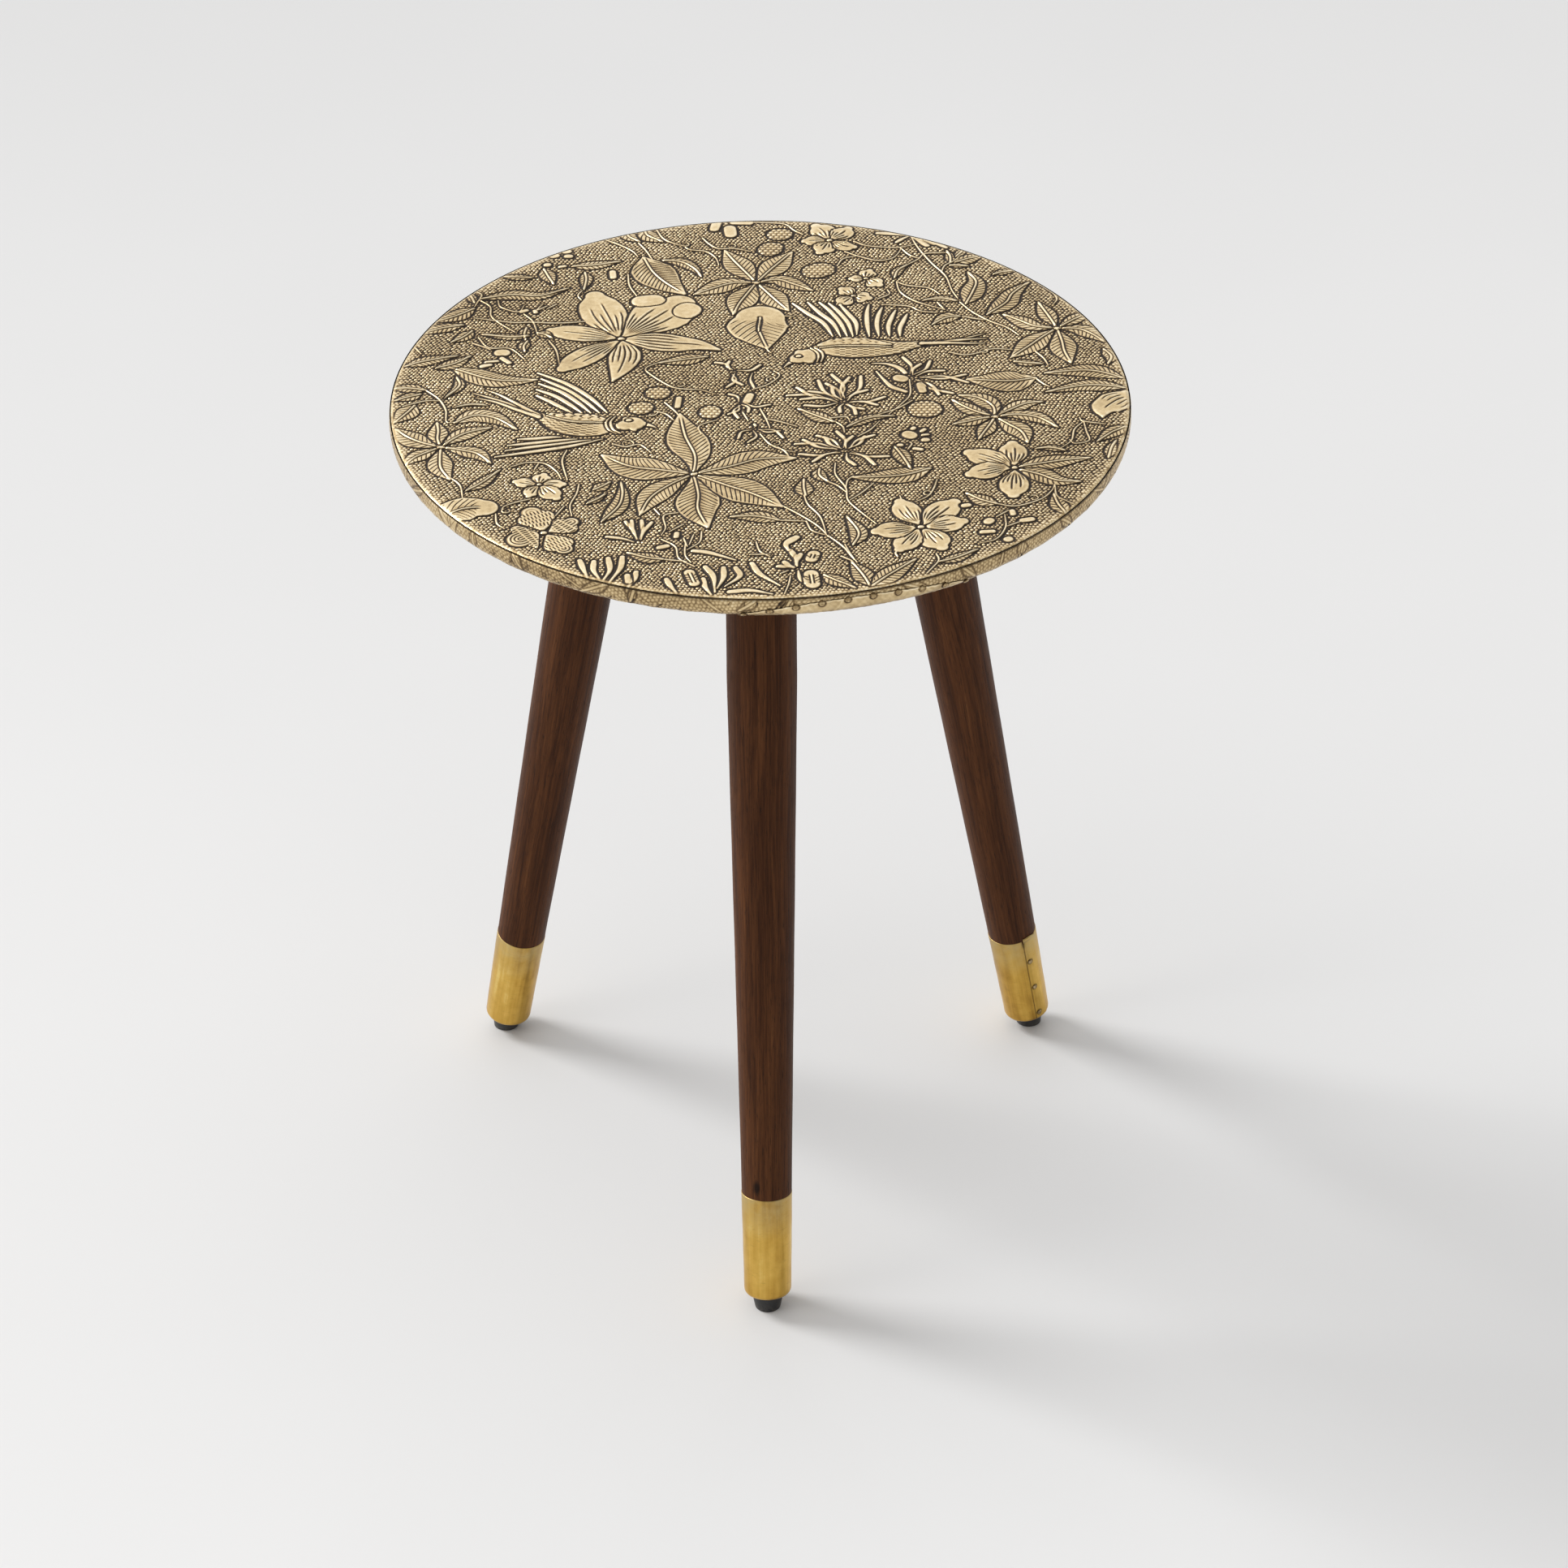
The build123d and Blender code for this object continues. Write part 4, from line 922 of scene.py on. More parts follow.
def build_sheet(relief, ground, patina, count):
    """The embossed sheet, with the relief pressed up from its ground."""
    x, y = disc_grid(count, crease_start)
    r = np.hypot(x, y)
    near_crease = smooth(181.5, crease_start, r)
    lift = np.maximum(sampled(relief.height, relief, x, y), sampled(ground, relief, x, y))
    slow = 0.10 * np.sin(x / 41 + 1.1) * np.sin(y / 37) + 0.05 * np.sin(x / 13 + y / 17)
    rise = 1.05 * (1 - 0.6 * near_crease)
    z = top_ground + lift * rise + slow * (1 - near_crease) + 0.1 * near_crease
    z = np.minimum(z, highest)
    tone = sampled(patina, relief, x, y)
    tone = tone + near_crease**2 * (0.16 - 0.35 * (tone - 0.6))
    verts = [np.stack([x, y, z], -1).reshape(-1, 3)]
    tones = [tone.ravel()]
    n = np.arange(count)
    number = n[:, None] * count + n[None, :]
    corners = [number[:-1, :-1], number[:-1, 1:], number[1:, 1:], number[1:, :-1]]
    quads = [np.stack(corners, -1).reshape(-1, 4)]
    loop = np.concatenate([number[0, :-1], number[:-1, -1], number[-1, :0:-1], number[:0:-1, 0]])
    edge = verts[0][loop]
    azimuth = np.arctan2(edge[:, 1], edge[:, 0])
    turn = np.degrees(azimuth)
    uv = [np.stack([(x / crease_start * 0.36 + 0.37).ravel(), (y / crease_start * 0.36 + 0.37).ravel()], -1)]
    start = len(verts[0])
    run = 0.0
    place = (crease_start, top_ground + 0.1)
    profile = rim_profile()
    around = np.unwrap(azimuth)
    across = (around - around[0]) / (2 * pi)
    for k, (pr, pz, out_r, out_z) in enumerate(profile):
        run += np.hypot(pr - place[0], pz - place[1])
        place = (pr, pz)
        reach = crease_start + run
        px, py = reach * np.cos(azimuth), reach * np.sin(azimuth)
        level = np.full(len(loop), pz)
        pressed = np.maximum(sampled(relief.height, relief, px, py), 0.8 * sampled(ground, relief, px, py))
        under = smooth(448.0, 444.6, level)
        worked, dark = rim_work(turn, level)
        flat = 0.2 * smooth(456.5, 453.0, level) * (1 - under)
        shift = (pressed - 0.28) * flat + worked * (1 - smooth(453.4, 455.6, level))
        shift = np.clip(shift, -0.19 if out_r > 0.5 else -0.2, top_radius - side_radius)
        if out_z < -0.5:
            shift = np.clip(shift, -0.2, 0.19)
        ring_r, ring_z = pr + out_r * shift, pz + out_z * np.clip(shift, -0.2, 0.2)
        verts.append(np.stack([ring_r * np.cos(azimuth), ring_r * np.sin(azimuth), ring_z], -1))
        # The rim's side takes the top's patina at lower contrast, lifted by 0.5: partly the side's own paler
        # brass, partly painted light brightening the side that faces away from the key.
        side_patina_and_painted_light = sampled(patina, relief, px, py) * 0.28 + 0.5
        bright_crease = bump(level - 455.6, 1.1)
        # Slits darken the side and the rubbed crease lightens it; the part turned under the board is 0.06 darker
        # as painted shade.
        side_patina_and_painted_light = side_patina_and_painted_light - 0.45 * dark + 0.2 * bright_crease - 0.06 * under
        tones.append(side_patina_and_painted_light)
        strip = k / len(profile)
        uv.append(np.stack([0.02 + 0.96 * np.abs(across), np.full(len(loop), 0.76 + 0.22 * strip)], -1))
        ring = start + k * len(loop) + np.arange(len(loop))
        quads.append(rings_between(loop if k == 0 else ring - len(loop), ring)[:, ::-1])
    last = start + (len(profile) - 1) * len(loop) + np.arange(len(loop))
    start += len(profile) * len(loop)
    board_radius = top_radius - sheet_thickness
    low_centre = top_radius - low_edge_radius
    inner = [(hem_inner_radius, underside + sheet_thickness), (low_centre, underside + sheet_thickness)]
    inner += [(low_centre + (low_edge_radius - sheet_thickness) * cos(radians(a)),
               underside + low_edge_radius + (low_edge_radius - sheet_thickness) * sin(radians(a)))
               for a in (-60, -30, 0)]
    inner += [(board_radius, table_height - relief_height - sheet_thickness)]
    for k, (pr, pz) in enumerate(inner):
        verts.append(np.stack([pr * np.cos(azimuth), pr * np.sin(azimuth), np.full(len(loop), pz)], -1))
        tones.append(np.full(len(loop), 0.3))
        uv.append(np.stack([0.02 + 0.96 * np.abs(across), np.full(len(loop), 0.985 + 0.002 * k)], -1))
        ring = start + k * len(loop) + np.arange(len(loop))
        quads.append(rings_between(last, ring)[:, ::-1])
        last = ring
    cap = last[None, :]
    piece = new_mesh("embossed_sheet", np.vstack(verts), [np.vstack(quads), cap])
    add_value(piece, "patina", np.concatenate(tones))
    add_bake_map(piece, np.vstack(uv))
    return piece


def patina_map(relief, ground):
    """How bright each place of the brass is: rubbed on raised work, dark in grooves and round its outlines."""
    surface = np.maximum(relief.height, ground)
    broad = int(3.4 / relief.cell)
    fine = int(2.4 / relief.cell)
    proud = surface - blurred(surface, broad)
    crisp = surface - blurred(surface, fine)
    raised = smooth(0.3, 0.7, relief.height)
    halo = bump(np.minimum(relief.near, 0) + 0.25, 0.95) * (1 - raised)
    worked = 0.62 + 0.16 * np.clip(proud, -0.5, 0.5) + 0.8 * np.clip(crisp, -0.25, 0.25) - 0.55 * relief.dark
    bare = 0.45 + 2.7 * np.clip(crisp, -0.17, 0.2) - 0.46 * halo
    return bare * (1 - raised) + (worked + 0.12) * raised


def rim_point(run):
    """Radius, height and outward direction on the rim's outer face, a distance down from the top of its side."""
    side = board_thickness - edge_radius - low_edge_radius
    angle = (run - side) / low_edge_radius
    if angle < 0:
        return top_radius, table_height - edge_radius - run, 1.0, 0.0
    angle = min(angle, pi / 2)
    return (top_radius - low_edge_radius * (1 - cos(angle)), underside + low_edge_radius * (1 - sin(angle)),
            cos(angle), -sin(angle))


def run_at_drop(drop):
    """The distance down the rim at which its face has dropped so far below the table's top."""
    side = board_thickness - low_edge_radius
    if drop < side:
        return drop - edge_radius
    return side - edge_radius + low_edge_radius * asin(min((drop - side) / low_edge_radius, 1.0))


def patch_nail_point(turn):
    fall = tan(radians(patch_cut_angle)) * top_radius * (1 - cos(radians(turn)))
    drop = patch_top_below_table + patch_nail_below_edge + fall
    steepest = board_thickness - low_edge_radius + low_edge_radius * sin(radians(patch_nail_steepest))
    return rim_point(run_at_drop(min(drop, steepest)))


def patch_nail_turns():
    return [patch_nail_span * (i / (patch_nail_count - 1) - 0.5) for i in range(patch_nail_count)]


def on_rim(turn, radius, height):
    azimuth = radians(patch_middle + turn)
    return np.array([radius * cos(azimuth), radius * sin(azimuth), height])


def build_patch(relief):
    """The brass strip nailed over the fold: a thin closed band with a wavy cut edge, dimpled round its nails."""
    columns, rows, reach = 620, 44, 18.4
    turns = np.linspace(-reach, reach, columns)
    nails = [(t, patch_nail_point(t)) for t in patch_nail_turns()]
    outer, inner, tones = [], [], []
    for t in turns:
        fall = tan(radians(patch_cut_angle)) * top_radius * (1 - cos(radians(t)))
        end = smooth(reach - 0.9, reach, abs(t))
        wave = 0.14 * sin(t * 1.9) + 0.08 * sin(t * 5.3 + 1)
        top = run_at_drop(patch_top_below_table + fall + 0.16 + wave) + 2.2 * end
        foot = run_at_drop(board_thickness - 0.35)
        for k, share in enumerate(np.linspace(0, 1, rows)):
            run = top + (foot - top) * share
            r, z, out_r, out_z = rim_point(run)
            azimuth = radians(patch_middle + t)
            reach_flat = 190 + run
            px, py = reach_flat * cos(azimuth), reach_flat * sin(azimuth)
            pressed = float(sampled(relief.height, relief, np.array([px]), np.array([py]))[0])
            dimple, ring = 0.0, 0.0
            for nail_turn, (nr, nz, _, _) in nails:
                gap = np.hypot((t - nail_turn) * pi / 180 * top_radius, np.hypot(r - nr, z - nz))
                dimple += float(bump(gap - 1.9, 0.7))
                ring += float(bump(gap - 1.75, 0.5))
            edge = float(bump(run - top, 0.7))
            sway = 0.05 * sin(t * 2.3 + run) + 0.035 * sin(t * 6.1 - run * 1.4)
            lift = np.clip(0.22 + 0.1 * pressed + sway - 0.12 * dimple - 0.05 * edge, 0.06, 0.39)
            outer.append(on_rim(t, r + out_r * lift, z + out_z * lift))
            inner.append(on_rim(t, r + out_r * 0.01, z + out_z * 0.01))
            tone = 0.74 + 0.1 * (pressed - 0.3) + 0.5 * sway - 0.5 * min(ring, 1)
            tone += 0.2 * bump(run - top - 0.5, 0.4)
            # Painted shade: the strip's colour darkens towards its foot, where it curves in under the board.
            tones.append(tone - 0.28 * smooth(0.45, 1.0, share))
    count = columns * rows
    n = np.arange(count).reshape(columns, rows)
    face = np.stack([n[:-1, :-1], n[:-1, 1:], n[1:, 1:], n[1:, :-1]], -1).reshape(-1, 4)
    border = np.concatenate([n[:-1, 0], n[-1, :-1], n[:0:-1, -1], n[0, :0:-1]])
    quads = [face, face[:, ::-1] + count, rings_between(border, border + count)]
    piece = new_mesh("rim_patch", np.array(outer + inner), [np.vstack(quads)])
    add_value(piece, "patina", np.array(tones + [0.3] * count))
    share = np.array([((c / (columns - 1)) * 0.96 + 0.02, (k / (rows - 1)) * 0.4 + 0.02)
                      for c in range(columns) for k in range(rows)])
    add_bake_map(piece, np.vstack([share, share + (0, 0.5)]))
    return piece


def lathe_mesh(name, outline, segments, dress):
    """A turned piece about Z from (radius, height) points, each vertex moved by dress(turn, radius, height)."""
    turns = np.linspace(0, 2 * pi, segments, endpoint=False)
    rows = []
    for r, z in outline:
        radius = dress(turns, np.full(segments, float(r)), z)
        rows.append(np.stack([radius * np.cos(turns), radius * np.sin(turns), np.full(segments, float(z))],
                             -1))
    verts = np.vstack(rows)
    quads = []
    for k in range(len(outline) - 1):
        first = np.arange(segments) + k * segments
        quads.append(rings_between(first, first + segments))
    low_end = np.arange(segments)[::-1][None, :]
    high_end = (np.arange(segments) + (len(outline) - 1) * segments)[None, :]
    groups = [np.vstack(quads), low_end, high_end]
    piece = new_mesh(name, verts, groups)
    share = np.repeat(np.linspace(0.02, 0.98, len(outline)), segments)
    add_bake_map(piece, np.stack([np.tile(np.linspace(0.02, 0.98, segments), len(outline)), share], -1))
    return piece


def leg_matrix(name):
    """Carries a leg's own axis, foot at the origin, to its place in the table."""
    azimuth = radians(leg_azimuths[name])
    return (Matrix.Rotation(azimuth, 4, "Z") @ Matrix.Translation((foot_radius * MM, 0, 0))
            @ Matrix.Rotation(radians(-leg_splay), 4, "Y"))


def settle(piece, matrix):
    """Keeps each vertex's own place as an attribute for the grain, then carries the mesh into the table."""
    places = np.empty(len(piece.data.vertices) * 3, np.float32)
    piece.data.vertices.foreach_get("co", places)
    layer = piece.data.attributes.new("own_place", "FLOAT_VECTOR", "POINT")
    layer.data.foreach_set("vector", places)
    piece.data.transform(matrix)
    return piece


def leg_radius(level):
    taper_end = leg_length - leg_straight_length
    share = np.minimum(level / taper_end, 1.0)
    return (leg_foot_diameter + (leg_top_diameter - leg_foot_diameter) * share) / 2


def arc(cr, cz, radius, first, last, count=7):
    """Points of an arc in a half section, at angles in degrees."""
    return [(cr + radius * cos(radians(a)), cz + radius * sin(radians(a)))
            for a in np.linspace(first, last, count)]


def build_wood(name):
    """The turned wooden leg, very slightly uneven from the lathe, its top edge rounded."""
    top, taper_end = leg_length, leg_length - leg_straight_length
    outline = [(leg_radius(ferrule_high) - 0.45, ferrule_high - 5.0)]
    outline += [(leg_radius(z), z) for z in np.linspace(ferrule_high - 0.4, taper_end, 90)]
    outline += [(leg_radius(taper_end), z) for z in np.linspace(taper_end + 3, top - leg_top_round, 20)]
    outline += arc(leg_top_diameter / 2 - leg_top_round, top - leg_top_round, leg_top_round, 15, 90, 6)
    seed = {"front": 0.3, "left": 2.1, "right": 4.4}[name]

    def dress(turns, radius, z):
        uneven = 0.05 * np.sin(2 * turns + seed + z / 70) + 0.03 * np.sin(z / 9 + seed)
        return radius - 0.08 + uneven * smooth(ferrule_high, ferrule_high + 6, z)

    return settle(lathe_mesh(f"wood_{name}", outline, 128, dress), leg_matrix(name))


def build_sleeve(name):
    """The ferrule: rolled sheet brass, slightly dented, with its lap and the notch at its seam."""
    lap = radians(lap_azimuths[name])
    lap_angle = lap_width / leg_radius(ferrule_high)
    corner = leg_radius(ferrule_low + ferrule_foot_round) + ferrule_proud
    outline = [(8.2, ferrule_low + 0.04), (corner - ferrule_foot_round, ferrule_low + 0.04)]
    outline += arc(corner - ferrule_foot_round, ferrule_low + ferrule_foot_round, ferrule_foot_round, -80, 0,
                   9)
    wall = np.linspace(ferrule_low + ferrule_foot_round + 0.7, ferrule_high - 0.25, 110)
    outline += [(leg_radius(z) + ferrule_proud, z) for z in wall]
    outline += [(leg_radius(ferrule_high) + ferrule_proud - 0.12, ferrule_high),
                (leg_radius(ferrule_high) - 0.3, ferrule_high)]
    seed = {"front": 1.0, "left": 2.7, "right": 5.2}[name]

    def dress(turns, radius, z):
        past = (turns - lap) % (2 * pi)
        over = smooth(0.0, 0.022, past) * (1 - smooth(lap_angle - 0.02, lap_angle,
                                                      past)) * smooth(ferrule_low + 0.5, ferrule_low + 3, z)
        uneven = 0.05 * np.sin(3 * turns + z / 14 + seed) + 0.03 * np.sin(z / 3.1 + 2 * turns)
        uneven = uneven + 0.02 * np.sin(7 * turns + z / 5)
        seam_gap = np.minimum(past, 2 * pi - past) * radius
        notch = bump(seam_gap, 0.5) * smooth(ferrule_high - 6, ferrule_high - 1.0, z)
        return radius - 0.05 + uneven + 0.3 * over - 0.5 * notch

    piece = lathe_mesh(f"sleeve_{name}", outline, 300, dress)
    turns = np.tile(np.linspace(0, 2 * pi, 300, endpoint=False), len(outline))
    levels = np.repeat([z for _, z in outline], 300)
    past = (turns - lap) % (2 * pi)
    gap = np.minimum(past, 2 * pi - past) * 13
    seam = bump(gap, 0.28) + bump(gap, 0.9) * smooth(ferrule_high - 6.5, ferrule_high - 1.5, levels)
    nails = np.zeros(len(levels))
    for level in lap_nail_levels:
        spot = np.hypot((past * 13 - lap_nail_from_edge), levels - level)
        nails += bump(spot - 1.5, 0.4)
    add_value(piece, "soil", np.clip(seam + nails, 0, 1))
    return settle(piece, leg_matrix(name))


def build_lap_tongue(name):
    """The lap's corner that stands above the sleeve's top edge."""
    lap, steps = radians(lap_azimuths[name]), 24
    lap_angle = lap_width / leg_radius(ferrule_high)
    verts = []
    for k in range(steps + 1):
        share = k / steps
        turn = lap + 0.012 + (lap_angle - 0.024) * share
        top = ferrule_high + lap_rise * (1 - 0.75 * smooth(0.45, 1.0, share)) - 0.25
        for r_out, z in ((0.0, ferrule_high - 1.2), (0.34, ferrule_high - 1.2), (0.34, top), (0.0, top)):
            r = leg_radius(z) + ferrule_proud - 0.02 + r_out
            verts.append((r * cos(turn), r * sin(turn), z))
    quads = []
    for k in range(steps):
        first = 4 * k + np.arange(4)
        quads.append(rings_between(first, first + 4)[:, ::-1])
    ends = np.array([[0, 1, 2, 3], [4 * steps + 3, 4 * steps + 2, 4 * steps + 1, 4 * steps]])
    piece = new_mesh(f"lap_tongue_{name}", np.array(verts), [np.vstack(quads + [ends])])
    add_bake_map(piece, [(0.02 + 0.9 * (k // 4) / steps, 0.1 + 0.2 * (k % 4)) for k in range(len(verts))])
    add_value(piece, "soil", np.zeros(len(verts)))
    return settle(piece, leg_matrix(name))


def build_round_nails(name, stands, head, height):
    """Round nail heads in one mesh, each on its own stand: a matrix with +Z out of the face."""
    segments = 40
    profile = [(head * 0.9, 0.0), (head * 0.99, height * 0.3), (head * 0.93, height * 0.55),
               (head * 0.72, height * 0.8),
               (head * 0.5, height * 0.93), (head * 0.25, height), (head * 0.06, height)]
    verts, quads, caps, uv = [], [], [], []
    for number, stand in enumerate(stands):
        base = len(verts)
        for k, (r, z) in enumerate(profile):
            for s in range(segments):
                turn = 2 * pi * s / segments
                uneven = 1 + 0.02 * sin(3 * turn + number)
                verts.append(tuple(stand @ Vector((r * uneven * cos(turn), r * uneven * sin(turn), z))))
                uv.append(((number + 0.05 + 0.9 * s / segments) / len(stands), 0.05 + 0.12 * k))
        for k in range(len(profile) - 1):
            first = base + k * segments + np.arange(segments)
            quads.append(rings_between(first, first + segments))
        caps.append(np.arange(base, base + segments)[::-1])
        caps.append(np.arange(base + (len(profile) - 1) * segments, base + len(profile) * segments))
    piece = new_mesh(name, np.array(verts), [np.vstack(quads), np.array(caps)])
    add_bake_map(piece, uv)
    return piece


def facing(place, out):
    """A stand at a place in millimetres, +Z along an outward direction."""
    return Matrix.Translation(place) @ Vector(out).to_track_quat("Z", "Y").to_matrix().to_4x4()


def patch_nail_stands():
    for turn in patch_nail_turns():
        r, z, out_r, out_z = patch_nail_point(turn)
        azimuth = radians(patch_middle + turn)
        out = (out_r * cos(azimuth), out_r * sin(azimuth), out_z)
        lift = 0.3
        yield facing((r * cos(azimuth) + out[0] * lift, r * sin(azimuth) + out[1] * lift, z + out[2] * lift),
                     out)


def lap_nail_stands(name):
    for level in lap_nail_levels:
        radius = leg_radius(level) + ferrule_proud + 0.26
        turn = radians(lap_azimuths[name]) + lap_nail_from_edge / radius
        yield facing((radius * cos(turn), radius * sin(turn), level), (cos(turn), sin(turn), 0.0))


# ---- Materials ----


class Look:
    """A material and short ways to add and join its nodes."""

    def __init__(self, name):
        self.material = bpy.data.materials.new(name)
        self.material.use_nodes = True
        self.tree = self.material.node_tree
        self.shader = next(n for n in self.tree.nodes if n.type == "BSDF_PRINCIPLED")

    def put(self, socket, value):
        if isinstance(value, bpy.types.NodeSocket):
            self.tree.links.new(value, socket)
        else:
            socket.default_value = value

    def add(self, kind, inputs=(), out=0, **settings):
        node = self.tree.nodes.new(kind)
        for key, value in settings.items():
            setattr(node, key, value)
        for key, value in dict(inputs).items():
            self.put(node.inputs[key], value)
        return node.outputs[out]

    def attribute(self, name, out="Fac"):
        return self.add("ShaderNodeAttribute", attribute_name=name, out=out)

    def place(self):
        return self.add("ShaderNodeTexCoord", out="Object")

    def stretched(self, vector, scale):
        return self.add("ShaderNodeMapping", {"Vector": vector, "Scale": scale})

    def noise(self, vector, scale, detail=3.0, rough=0.55):
        return self.add("ShaderNodeTexNoise", {"Vector": vector, "Scale": scale, "Detail": detail,
                                               "Roughness": rough}, out="Fac")

    def math(self, what, a, b=0.0, clamp=False):
        return self.add("ShaderNodeMath", {0: a, 1: b}, operation=what, use_clamp=clamp)

    def spread(self, value, low, high, to_low=0.0, to_high=1.0):
        return self.add("ShaderNodeMapRange", {"Value": value, "From Min": low, "From Max": high,
                                               "To Min": to_low, "To Max": to_high})

    def ramp(self, value, stops):
        node = self.tree.nodes.new("ShaderNodeValToRGB")
        self.put(node.inputs[0], value)
        points = node.color_ramp.elements
        while len(points) < len(stops):
            points.new(0.5)
        for point, (where, colour) in zip(points, stops):
            point.position = where
            point.color = (*colour, 1)
        return node.outputs[0]

    def mix(self, share, first, second, blend="MIX"):
        node = self.tree.nodes.new("ShaderNodeMix")
        node.data_type, node.blend_type = "RGBA", blend
        self.put(node.inputs[0], share)
        for socket, value in ((node.inputs[6], first), (node.inputs[7], second)):
            self.put(socket, value if isinstance(value, bpy.types.NodeSocket) else (*value, 1))
        return node.outputs[2]

    def bump(self, height, distance, strength=1.0):
        return self.add("ShaderNodeBump", {"Height": height, "Distance": distance, "Strength": strength})

    def surface(self, **values):
        names = {"colour": "Base Color", "metal": "Metallic", "rough": "Roughness", "normal": "Normal",
                 "coat": "Coat Weight",
                 "coat_rough": "Coat Roughness", "shine": "Specular IOR Level"}
        for key, value in values.items():
            self.put(self.shader.inputs[names[key]], value)
        return self.material


def antique_brass():
    """Patinated sheet brass: tan-gold where it is rubbed, dark brown in the recesses, mottled at three sizes."""
    look = Look("antique brass")
    place, patina = look.place(), look.attribute("patina")
    broad = look.noise(place, 9.0, 2.0)
    cloud = look.noise(place, 46.0, 4.0, 0.62)
    fleck = look.noise(place, 420.0, 3.0, 0.6)
    tone = look.math("ADD", patina, look.spread(broad, 0.3, 0.7, -0.05, 0.05))
    tone = look.math("ADD", tone, look.spread(cloud, 0.3, 0.7, -0.10, 0.09))
    tone = look.math("ADD", tone, look.spread(fleck, 0.3, 0.7, -0.07, 0.07), clamp=True)
    colour = look.ramp(tone, [(0.0, (0.024, 0.014, 0.007)), (0.22, (0.075, 0.044, 0.020)),
                              (0.42, (0.22, 0.146, 0.070)),
                              (0.60, (0.49, 0.355, 0.182)), (0.78, (0.74, 0.575, 0.325)),
                              (1.0, (0.98, 0.84, 0.58))])
    spots = look.spread(look.noise(place, 130.0, 2.0, 0.5), 0.68, 0.78)
    colour = look.mix(look.math("MULTIPLY", spots, 0.35), colour, (0.10, 0.062, 0.034))
    rough = look.spread(tone, 0.15, 0.85, 0.55, 0.29)
    rough = look.math("ADD", rough, look.spread(cloud, 0.3, 0.7, -0.05, 0.06))
    metal = look.spread(tone, 0.1, 0.7, 0.55, 0.96)
    coarse = look.math("MULTIPLY", look.noise(place, 260.0, 2.0), 1.4)
    grain = look.math("ADD", look.noise(place, 900.0, 2.0), coarse)
    return look.surface(colour=colour, metal=metal, rough=rough, normal=look.bump(grain, 0.00012, 0.6))


def sleeve_brass():
    """Rolled yellow brass: streaks along the leg, a paler tarnished top, soil at the seam and round the nails."""
    look = Look("rolled brass")
    own = look.attribute("own_place", "Vector")
    streak = look.noise(look.stretched(own, (1.0, 1.0, 0.035)), 520.0, 4.0, 0.6)
    band = look.noise(look.stretched(own, (1.0, 1.0, 0.12)), 95.0, 3.0, 0.5)
    cloud = look.noise(own, 110.0, 4.0, 0.6)
    scuff = look.noise(look.stretched(own, (1.0, 1.0, 6.0)), 160.0, 3.0, 0.7)
    level = look.add("ShaderNodeSeparateXYZ", {"Vector": own}, out="Z")
    tone = look.math("ADD", look.spread(band, 0.28, 0.72, 0.1, 0.9),
                     look.spread(streak, 0.3, 0.7, -0.16, 0.16))
    tone = look.math("ADD", tone, look.spread(cloud, 0.3, 0.7, -0.15, 0.15), clamp=True)
    colour = look.ramp(tone, [(0.0, (0.33, 0.175, 0.030)), (0.45, (0.58, 0.345, 0.066)),
                              (0.8, (0.72, 0.46, 0.105)), (1.0, (0.82, 0.60, 0.19))])
    pale = look.math("MULTIPLY", look.spread(level, 0.044, 0.068), look.spread(cloud, 0.35, 0.6, 0.25, 0.7))
    colour = look.mix(pale, colour, (0.50, 0.40, 0.20))
    marks = look.math("MULTIPLY", look.spread(scuff, 0.6, 0.75), 0.35)
    colour = look.mix(marks, colour, (0.24, 0.14, 0.045))
    colour = look.mix(look.math("MULTIPLY", look.attribute("soil"), 0.85), colour, (0.045, 0.026, 0.012))
    rough = look.math("ADD", look.spread(streak, 0.3, 0.7, 0.27, 0.4), look.math("MULTIPLY", pale, 0.12))
    grain = look.math("ADD", streak, look.math("MULTIPLY", cloud, 0.8))
    return look.surface(colour=colour, metal=0.97, rough=rough, normal=look.bump(grain, 0.00025, 0.35))


def nail_brass():
    look = Look("nail brass")
    place = look.place()
    cloud = look.noise(place, 700.0, 3.0)
    colour = look.ramp(look.spread(cloud, 0.3, 0.7), [(0.0, (0.16, 0.10, 0.045)), (0.5, (0.42, 0.30, 0.15)),
                                                      (1.0, (0.66, 0.52, 0.30))])
    rough = look.spread(cloud, 0.3, 0.7, 0.5, 0.32)
    return look.surface(colour=colour, metal=0.93, rough=rough,
                        normal=look.bump(look.noise(place, 1800.0), 0.0001, 0.4))


